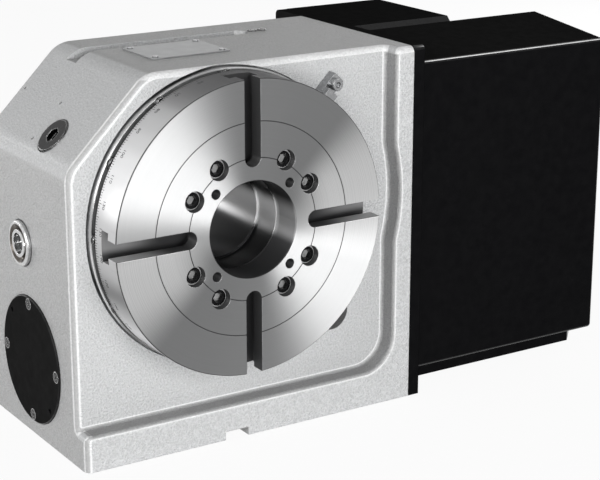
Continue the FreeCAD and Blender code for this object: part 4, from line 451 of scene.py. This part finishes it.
def turned_finish(slot, dark, light, rough_low, rough_high, fan):
    """Steel with fine tool rings about the spindle axis."""
    material, shader = new_finish(slot)
    arm, radius, across = around_spindle(material)
    rings = add_node(material, "ShaderNodeTexNoise", noise_dimensions="1D", in_W=radius,
                     in_Scale=2600.0, in_Detail=3.0).outputs["Fac"]
    # Ring tone plus a painted bright fan, then paler painted sectors beside it, as reflections of
    # the studio.
    shade = number_step(material, "ADD", ramp_between(material, rings, -0.12, 0.12),
                        fan_share(material, arm, FAN_LEAN, 0.25, 0.85))
    colour = tint_between(material, shade, dark, light)
    panel_reflection = tint_between(material, rings, light, (0.9, 0.9, 0.9))
    colour = blend_colours(material, beside_fan(material, arm, radius), colour, panel_reflection)
    colour = rim_tone(material, arm, colour)
    cut = cut_share(material, radius)
    cut_shade_colour, dull = deep_tone(material, arm, radius)
    join(material, blend_colours(material, cut, colour, cut_shade_colour), shader.inputs["Base Color"])
    bare = opposite(material, product(material, cut, dull))
    join(material, bare, shader.inputs["Metallic"])
    join(material, ramp_between(material, rings, rough_low, rough_high),
         shader.inputs["Roughness"])
    bump = bump_from(material, rings, 0.04 * MM, 0.25)
    join(material, softened(material, 0.6 * MM, bump), shader.inputs["Normal"])
    join(material, across, shader.inputs["Tangent"])
    set_shader(shader, Anisotropic=fan)
    print(slot + ":", len(material.node_tree.nodes), "nodes")


turned_finish("turned_steel", (0.25, 0.252, 0.254), (0.45, 0.452, 0.454), 0.42, 0.54, 0.97)
turned_finish("ground_steel", (0.32, 0.322, 0.324), (0.40, 0.402, 0.404), 0.20, 0.30, 0.6)

# %% [markdown]
# The other metals differ in colour and in how evenly they shine: black-oxide screws, bright
# zinc-plated small parts, a bronze worm wheel, bare iron, and satin aluminium for the plate on top
# and the pulleys. One recipe with a few numbers covers them, because what the eye reads is the
# colour, the roughness and the size of the mottling. Black oxide is a thin skin that wears off at
# the edges, and there it is paler, partly from wear and partly as a painted highlight: beside a
# sharp edge the rounded normal differs from the true one.

# %% Other metals
def near_edges(material, radius):
    """1 beside a sharp edge, where the rounded normal differs from the true one."""
    surface = add_node(material, "ShaderNodeNewGeometry").outputs
    agree = vector_step(material, "DOT_PRODUCT", surface["Normal"], softened(material, radius),
                        "Value")
    return share_above(material, agree, 0.99, 0.90)


def mottled_metal(slot, dark, light, rough_low, rough_high, scale, edge_wear_and_highlight=None):
    """Metal whose colour and shine wander a little over the surface, paler at its edges from wear
    and a painted highlight.
    """
    material, shader = new_finish(slot)
    cloud = grain(material, scale, detail=4.0)
    colour = tint_between(material, cloud, dark, light)
    if edge_wear_and_highlight:
        # Paler edges: partly wear, partly a painted highlight.
        pale = tint_between(material, cloud, light, edge_wear_and_highlight)
        colour = blend_colours(material, near_edges(material, 0.7 * MM), colour, pale)
    join(material, colour, shader.inputs["Base Color"])
    join(material, ramp_between(material, cloud, rough_low, rough_high),
         shader.inputs["Roughness"])
    bump = bump_from(material, cloud, 0.03 * MM, 0.3)
    join(material, softened(material, 0.4 * MM, bump), shader.inputs["Normal"])
    set_shader(shader, Metallic=1.0)


mottled_metal("black_oxide", (0.006, 0.006, 0.006), (0.024, 0.024, 0.025), 0.20, 0.32, 300,
              edge_wear_and_highlight=(0.9, 0.9, 0.9))
mottled_metal("zinc_steel", (0.20, 0.203, 0.208), (0.40, 0.403, 0.408), 0.18, 0.30, 400)
mottled_metal("bronze", (0.42, 0.26, 0.10), (0.58, 0.38, 0.17), 0.28, 0.42, 250)
mottled_metal("iron", (0.17, 0.17, 0.175), (0.26, 0.26, 0.265), 0.42, 0.58, 260)
mottled_metal("plate_alu", (0.23, 0.233, 0.236), (0.30, 0.303, 0.306), 0.36, 0.48, 120)
print("finishes so far:", sorted(finishes))

# %% [markdown]
# The motor cover, the box behind it and the flat black plates are steel with a thick stove enamel.
# Enamel levels into a faint orange peel, and a very shallow noise in the bump is enough to
# wobble the reflections. Seen against white, flat black reads best nearly without a mirror image,
# so the shine sits on the bent edges, which lean between the main directions. A dusted, paler
# tone lifts the black a little on all but the front faces, partly as dirt and partly as painted
# light that shows their form. Along the upper front bend a thin painted highlight in bare-metal
# grey fades towards the casting.

# %% Black enamel and motor paint
BEND_FACING = (0, -0.64, 0.77)


def rubbed_line(material):
    """1 along the middle of the upper front bend of the motor cover, where a highlight is painted.
    """
    along_bend = vector_step(material, "DOT_PRODUCT", facing_of(material), BEND_FACING, "Value")
    place = parts_of(material, place_of(material))
    at_front = share_above(material, place["Y"], hood_front + 6 * MM, hood_front + 5 * MM)
    on_hood = share_above(material, place["X"], case_high.x, flange_right + 10 * MM)
    return product(material, share_above(material, along_bend, 0.985, 0.995), at_front, on_hood)


def enamel(slot, dark, light, dust_and_light_tone, rough_low, rough_high, edge, shine):
    """Black paint with orange peel: dull flats, shiny bends, a dusted tone that is partly painted
    light on all but front faces, and a painted highlight along one bend.
    """
    material, shader = new_finish(slot)
    peel = grain(material, 160, detail=1.0)
    join(material, ramp_between(material, peel, rough_low, rough_high),
         shader.inputs["Roughness"])
    bump = bump_from(material, peel, 0.2 * MM, 0.12)
    join(material, softened(material, edge, bump), shader.inputs["Normal"])
    bends = share_above(material, flatness_of(material), 0.985, 0.94)
    join(material, number_step(material, "MULTIPLY", bends, shine),
         shader.inputs["Specular IOR Level"])
    to_front = share_above(material, parts_of(material, facing_of(material))["Y"], -0.2, -0.9)
    # Paler tone on all but the front faces: partly dirt, partly painted light that shows the form.
    dust_and_painted_light = tint_between(material, peel, [tone * 0.6 for tone in dust_and_light_tone], dust_and_light_tone)
    paint = tint_between(material, peel, dark, light)
    paint = blend_colours(material, to_front, dust_and_painted_light, paint)
    painted_highlight = rubbed_line(material)
    # Painted highlight along the upper front bend, in bare-metal grey.
    bare = tint_between(material, peel, (0.5, 0.5, 0.5), (0.7, 0.7, 0.7))
    join(material, blend_colours(material, painted_highlight, paint, bare), shader.inputs["Base Color"])
    join(material, painted_highlight, shader.inputs["Metallic"])
    print(slot + ":", len(material.node_tree.nodes), "nodes")


enamel("black_gloss", dark=(0.0045, 0.0045, 0.005), light=(0.008, 0.008, 0.0085),
       dust_and_light_tone=(0.024, 0.024, 0.024), rough_low=0.22, rough_high=0.34, edge=0.6 * MM, shine=0.12)
enamel("motor_paint", dark=(0.012, 0.012, 0.013), light=(0.022, 0.022, 0.024),
       dust_and_light_tone=(0.045, 0.045, 0.045), rough_low=0.42, rough_high=0.55, edge=0.8 * MM, shine=0.5)

# %% [markdown]
# Rubber seals, the belt, the brake lining and the encoder's plastic cap scatter light instead of
# mirroring it, so they need a high roughness and a fine, dull grain. The same few lines serve all
# three, with other colours and other sizes of grain.

# %% Rubber, lining and plastic
def dull_finish(slot, dark, light, rough, scale, depth):
    """Matt surface with a fine grain."""
    material, shader = new_finish(slot)
    speckle = grain(material, scale, detail=3.0)
    join(material, tint_between(material, speckle, dark, light), shader.inputs["Base Color"])
    join(material, ramp_between(material, speckle, rough - 0.06, rough + 0.06),
         shader.inputs["Roughness"])
    bump = bump_from(material, speckle, depth, 0.4)
    join(material, bump.outputs["Normal"], shader.inputs["Normal"])


dull_finish("rubber", (0.010, 0.010, 0.010), (0.022, 0.022, 0.022), 0.62, 700, 0.06 * MM)
dull_finish("friction", (0.07, 0.05, 0.04), (0.13, 0.10, 0.08), 0.80, 500, 0.1 * MM)
dull_finish("plastic", (0.016, 0.016, 0.017), (0.028, 0.028, 0.030), 0.50, 900, 0.05 * MM)
print("finishes so far:", len(finishes))

# %% [markdown]
# The sight glass is the opposite: clear, with all its light let through. A faint haze in its
# colour and its polish keeps it from looking like an empty hole.

# %% Glass
material, shader = new_finish("glass")
haze = grain(material, 90)
join(material, tint_between(material, haze, (0.78, 0.82, 0.80), (0.86, 0.89, 0.87)),
     shader.inputs["Base Color"])
join(material, ramp_between(material, haze, 0.02, 0.06), shader.inputs["Roughness"])
set_shader(shader, Transmission_Weight=1.0, IOR=1.5)
print("glass:", len(material.node_tree.nodes), "nodes")

# %% [markdown]
# The bezel around the sight glass is a polished ring with a dish between its lip and its rim. The
# dish gets a painted dark reflection of the darker part of the room. A share by distance from the
# middle of the ring makes it dark, so the ring stays one solid with one material.

# %% Polished bezel of the sight glass
material, shader = new_finish("bezel")
bezel_low, bezel_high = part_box("sight_glass_bezel")
bezel_middle = (bezel_low + bezel_high) / 2
bezel_r = (bezel_high.z - bezel_low.z) / 2
from_middle = vector_step(material, "SUBTRACT", place_of(material), bezel_middle)
in_plane = vector_step(material, "MULTIPLY", from_middle, (0, 1, 1))
ring_r = vector_step(material, "LENGTH", in_plane, output="Value")
dish = product(material, share_above(material, ring_r, bezel_r * 0.61, bezel_r * 0.64),
               share_above(material, ring_r, bezel_r * 0.88, bezel_r * 0.84))
turning = grain(material, 500)
polished = tint_between(material, turning, (0.42, 0.42, 0.42), (0.72, 0.72, 0.72))
dish_painted_shade = tint_between(material, turning, (0.05, 0.045, 0.04), (0.16, 0.145, 0.13))
join(material, blend_colours(material, dish, polished, dish_painted_shade), shader.inputs["Base Color"])
join(material, ramp_between(material, turning, 0.14, 0.24), shader.inputs["Roughness"])
join(material, softened(material, 0.4 * MM), shader.inputs["Normal"])
set_shader(shader, Metallic=1.0)
print("bezel radius in mm:", round(bezel_r / MM, 2))

# %% [markdown]
# The bolts of the face plate are black-oxide socket screws. The chamfer around the head gets a
# bright painted highlight, and the floor of the hexagon a fainter one. The direction of the surface
# finds the chamfer, and direction with depth finds the floor.

# %% Bolts of the face plate
material, shader = new_finish("bolt")
bolt_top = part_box("platter_bolts")[0].y
cloud = grain(material, 300, detail=4.0)
facing = parts_of(material, facing_of(material))
place = parts_of(material, place_of(material))
chamfer = product(material, share_above(material, facing["Y"], -0.45, -0.55),
                  share_above(material, facing["Y"], -0.95, -0.85))
socket = product(material, share_above(material, place["Y"], bolt_top + MM, bolt_top + 1.2 * MM),
                 share_above(material, facing["Y"], -0.8, -0.9))
oxide = tint_between(material, cloud, (0.004, 0.004, 0.004), (0.020, 0.020, 0.021))
# Painted highlights, not metallic: a bright ring on the chamfer and a fainter one on the socket
# floor.
bare = tint_between(material, cloud, (0.34, 0.34, 0.34), (0.66, 0.66, 0.665))
socket_painted_highlight = tint_between(material, cloud, (0.10, 0.10, 0.10), (0.40, 0.40, 0.40))
colour = blend_colours(material, chamfer, oxide, bare)
join(material, blend_colours(material, socket, colour, socket_painted_highlight), shader.inputs["Base Color"])
painted_highlight = larger(material, chamfer, socket)
join(material, opposite(material, painted_highlight), shader.inputs["Metallic"])
join(material, ramp_between(material, cloud, 0.22, 0.36), shader.inputs["Roughness"])
join(material, softened(material, 0.3 * MM), shader.inputs["Normal"])
print("bolt heads start at y in mm:", round(bolt_top / MM, 2))

# %% [markdown]
# The record says which material slot each solid belongs to, so the finishes can be handed out in
# one loop, with the bezel and the bolts as the two exceptions. Only the object's own material
# slots change; the meshes stay as they came.

# %% Hand the finishes to the solids
special = {"sight_glass_bezel": "bezel", "platter_bolts": "bolt"}
for subpart in frame["record"]["subparts"]:
    solid = nodes[subpart["node"]]
    slot = special.get(subpart["node"], subpart["material_slot"])
    solid.data.materials.clear()
    solid.data.materials.append(finishes[slot])
print("solids dressed:", len(nodes))

# %% [markdown]
# The rim of the face plate carries a degree scale: a short cut for each degree, longer ones at
# five and ten, and plain numbers at the tens. Cutting 360 lines out of the solid would be slow, so
# each line is a thin dark strip, laid on the rim with a formula and collected into one mesh. First
# come the helpers: one makes a piece, one finds a point on the rim, one adds a block.

# %% Helpers for added pieces
BOX_FACES = [(0, 1, 2, 3), (7, 6, 5, 4), (0, 4, 5, 1), (1, 5, 6, 2), (2, 6, 7, 3), (3, 7, 4, 0)]


def new_piece(name, points, faces, slot, body):
    """Mesh object from plain lists, finished like a slot and riding on a body."""
    mesh = bpy.data.meshes.new(name)
    mesh.from_pydata(points, [], faces)
    mesh.update()
    piece = bpy.data.objects.new(name, mesh)
    bpy.context.scene.collection.objects.link(piece)
    mesh.materials.append(finishes[slot])
    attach(piece, body)
    print(name + ":", len(faces), "faces")


def on_rim(angle, y, lift):
    """Point on the rim: angle from the top, clockwise as one faces the plate."""
    radius = platter_r + lift
    return Vector((radius * math.sin(angle), y, spindle_height + radius * math.cos(angle)))


def add_block(points, faces, corners):
    """Append a six-sided block given its four base and four top corners."""
    start = len(points)
    points.extend(corners)
    faces.extend([tuple(start + index for index in face) for face in BOX_FACES])


print("rim radius for the scale in mm:", round(platter_r / MM, 2))

# %% [markdown]
# The scale starts at the pointer block and runs against the clock. Each line is a block that
# stands a little way out of the rim and reaches a little way into it, so that no gap shows.

# %% Degree scale on the rim
line_half = 0.2 * MM
line_lift = 0.03 * MM
line_root = -0.2 * MM
line_lengths = {0: 4.2 * MM, 5: 3.2 * MM}
short_line = 2.2 * MM
pointer_low, pointer_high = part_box("pointer_block")
pointer = (pointer_low + pointer_high) / 2
scale_start = math.atan2(pointer.x, pointer.z - spindle_height)
half = line_half / platter_r
points, faces = [], []
for degree in range(360):
    angle = scale_start - math.radians(degree)
    length = line_lengths.get(degree % 10, short_line)
    spans = [(angle - half, rim_back), (angle + half, rim_back),
             (angle + half, rim_back - length), (angle - half, rim_back - length)]
    add_block(points, faces, [on_rim(a, y, line_root) for a, y in spans]
              + [on_rim(a, y, line_lift) for a, y in spans])
new_piece("degree_lines", points, faces, "rubber", "table")
print("scale starts at", round(math.degrees(scale_start), 1), "degrees from the top")

# %% [markdown]
# Numbers stand at the tens. A text curve gives flat letters with a little depth; each of their
# points is bent onto the rim by the same formula, and all the numbers end up in one mesh.

# %% Numbers at the tens
number_height = 4.2 * MM
number_depth = 0.1 * MM
number_sink = 0.07 * MM
number_y = rim_back - 5.6 * MM
points, faces = [], []
for degree in range(0, 360, 10):
    words = bpy.data.curves.new("number", "FONT")
    words.body = str(degree)
    words.size = number_height
    words.align_x = "CENTER"
    words.align_y = "TOP"
    words.extrude = number_depth
    holder = bpy.data.objects.new("number", words)
    letters = bpy.data.meshes.new_from_object(holder)
    start = len(points)
    angle = scale_start - math.radians(degree)
    for vertex in letters.vertices:
        across, up, out = vertex.co
        points.append(on_rim(angle - across / platter_r, number_y + up, out - number_sink))
    faces.extend([tuple(start + index for index in polygon.vertices)
                  for polygon in letters.polygons])
    bpy.data.objects.remove(holder)
    bpy.data.curves.remove(words)
    bpy.data.meshes.remove(letters)
new_piece("degree_numbers", points, faces, "rubber", "table")

# %% [markdown]
# On the back of the box sit the fittings that power the table. The round connector is a shell
# with contact pins inside it, which a short loop of thin cylinders supplies.

# %% Contact pins in the power connector
connector_low, connector_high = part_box("power_connector")
connector_x = (connector_low.x + connector_high.x) / 2
connector_z = (connector_low.z + connector_high.z) / 2
pin_root = connector_low.y + 17 * MM
pin_end = connector_high.y - 2.5 * MM
pin_count = 6
pin_r = 1.1 * MM
pin_circle = 7 * MM
pin_sides = 12
points, faces = [], []
for pin in range(pin_count):
    turn = 2 * math.pi * pin / pin_count
    centre_x = connector_x + pin_circle * math.cos(turn)
    centre_z = connector_z + pin_circle * math.sin(turn)
    start = len(points)
    end = start + pin_sides
    for y in (pin_root, pin_end):
        for side in range(pin_sides):
            step = 2 * math.pi * side / pin_sides
            points.append((centre_x + pin_r * math.cos(step), y,
                           centre_z + pin_r * math.sin(step)))
    for side in range(pin_sides):
        after = (side + 1) % pin_sides
        faces.append((start + side, end + side, end + after, start + after))
    faces.append(tuple(start + side for side in range(pin_sides)))
    faces.append(tuple(end + side for side in reversed(range(pin_sides))))
new_piece("connector_pins", points, faces, "bronze", "housing")

# %% [markdown]
# The studio is a pale floor under a white sky. The floor is a real surface that takes the part's
# shadow; a share of plain white, seen only by the camera and in reflections, lifts it to paper
# white without putting more light on the part.

# %% Floor
floor_reach = 6.0
floor_z = -0.4 * MM
white_share = 0.94


def seen_directly(owner):
    """1 for rays from the camera, from a mirror or through glass."""
    path = add_node(owner, "ShaderNodeLightPath").outputs
    seen = larger(owner, path["Is Camera Ray"], path["Is Glossy Ray"])
    return larger(owner, seen, path["Is Transmission Ray"])


floor_mesh = bpy.data.meshes.new("floor")
floor_mesh.from_pydata([(-floor_reach, -floor_reach, floor_z), (floor_reach, -floor_reach, floor_z),
                        (floor_reach, floor_reach, floor_z), (-floor_reach, floor_reach, floor_z)],
                       [], [(0, 1, 2, 3)])
floor = bpy.data.objects.new("floor", floor_mesh)
bpy.context.scene.collection.objects.link(floor)
paper = bpy.data.materials.new("paper")
paper.use_nodes = True
paper_nodes = paper.node_tree.nodes
set_shader(paper_nodes["Principled BSDF"], Base_Color=(0.80, 0.80, 0.80, 1), Roughness=0.9)
white = add_node(paper, "ShaderNodeEmission")
blend = add_node(paper, "ShaderNodeMixShader")
join(paper, number_step(paper, "MULTIPLY", seen_directly(paper), white_share), blend.inputs["Fac"])
join(paper, paper_nodes["Principled BSDF"].outputs["BSDF"], blend.inputs[1])
join(paper, white.outputs["Emission"], blend.inputs[2])
join(paper, blend.outputs["Shader"], paper_nodes["Material Output"].inputs["Surface"])
floor_mesh.materials.append(paper)
print("floor at z in mm:", round(floor_z / MM, 2))

# %% [markdown]
# The sky works the same way: white to the camera, in mirrors and through glass, and nearly dark
# for all other light. So it gives a white background and adds almost no flat light to the part.

# %% Sky
sky_dim, sky_white = 0.06, 1.0
world = bpy.data.worlds.new("sky")
bpy.context.scene.world = world
world.use_nodes = True
sky = world.node_tree.nodes["Background"]
sky.inputs["Color"].default_value = (1, 1, 1, 1)
level = add_node(world, "ShaderNodeMapRange", in_Value=seen_directly(world), in_To_Min=sky_dim,
                 in_To_Max=sky_white)
join(world, level.outputs["Result"], sky.inputs["Strength"])
print("sky strength from", sky_dim, "to", sky_white)

# %% [markdown]
# Six soft lamps do the rest: a broad one in front of the panel, a low one that makes the bright
# fan of the turned plate wider, one from the left that wakes the bevel and the left face, a weak
# one from the upper right that draws the edges of the black cover, and two that show the form of
# the back and of the right side to someone who walks around the part. Broad lamps give soft
# shadows, and none is strong, because the white of the room comes from floor and sky.

# %% Lamps
part_middle = (cad_low + cad_high) / 2
lamp_table = (("front_lamp", (-0.10, -1.7, 0.50), 1.1, 0.9, 20),
              ("low_lamp", (-0.80, -1.5, 0.22), 0.6, 0.4, 8),
              ("left_lamp", (-1.5, -0.5, 0.8), 0.9, 1.0, 9),
              ("edge_lamp", (1.1, -0.45, 1.5), 0.3, 0.9, 1.2),
              ("back_lamp", (-0.90, 1.60, 0.25), 1.0, 0.4, 7),
              ("side_lamp", (1.70, 0.80, 0.45), 1.0, 0.5, 12))
for name, stand, width, height, power in lamp_table:
    lamp = bpy.data.lights.new(name, "AREA")
    lamp.shape = "RECTANGLE"
    lamp.size = width
    lamp.size_y = height
    lamp.energy = power
    holder = bpy.data.objects.new(name, lamp)
    bpy.context.scene.collection.objects.link(holder)
    holder.location = stand
    holder.rotation_euler = (part_middle - Vector(stand)).to_track_quat("-Z", "Y").to_euler()
    print(name, "of", power, "W")

# %% [markdown]
# The camera stands where the photographer stood: to the left of the face plate, above it, and far
# enough back for a long lens. Place, direction and lens were worked out from the outline of the
# plate and the corners of the casting.

# %% Camera
camera_place = Vector((-0.5678, -0.9908, 0.4842))
camera_yaw = math.radians(-32.35)
camera_pitch = math.radians(16.87)
camera_data = bpy.data.cameras.new("photo_camera")
camera_data.sensor_width = 36.0
camera_data.lens = 106.6
camera = bpy.data.objects.new("photo_camera", camera_data)
bpy.context.scene.collection.objects.link(camera)
camera.location = camera_place
camera.rotation_euler = (math.pi / 2 - camera_pitch, 0, camera_yaw)
bpy.context.scene.camera = camera
bpy.context.scene.view_settings.view_transform = "Standard"
print("camera at", [round(v, 3) for v in camera.location])
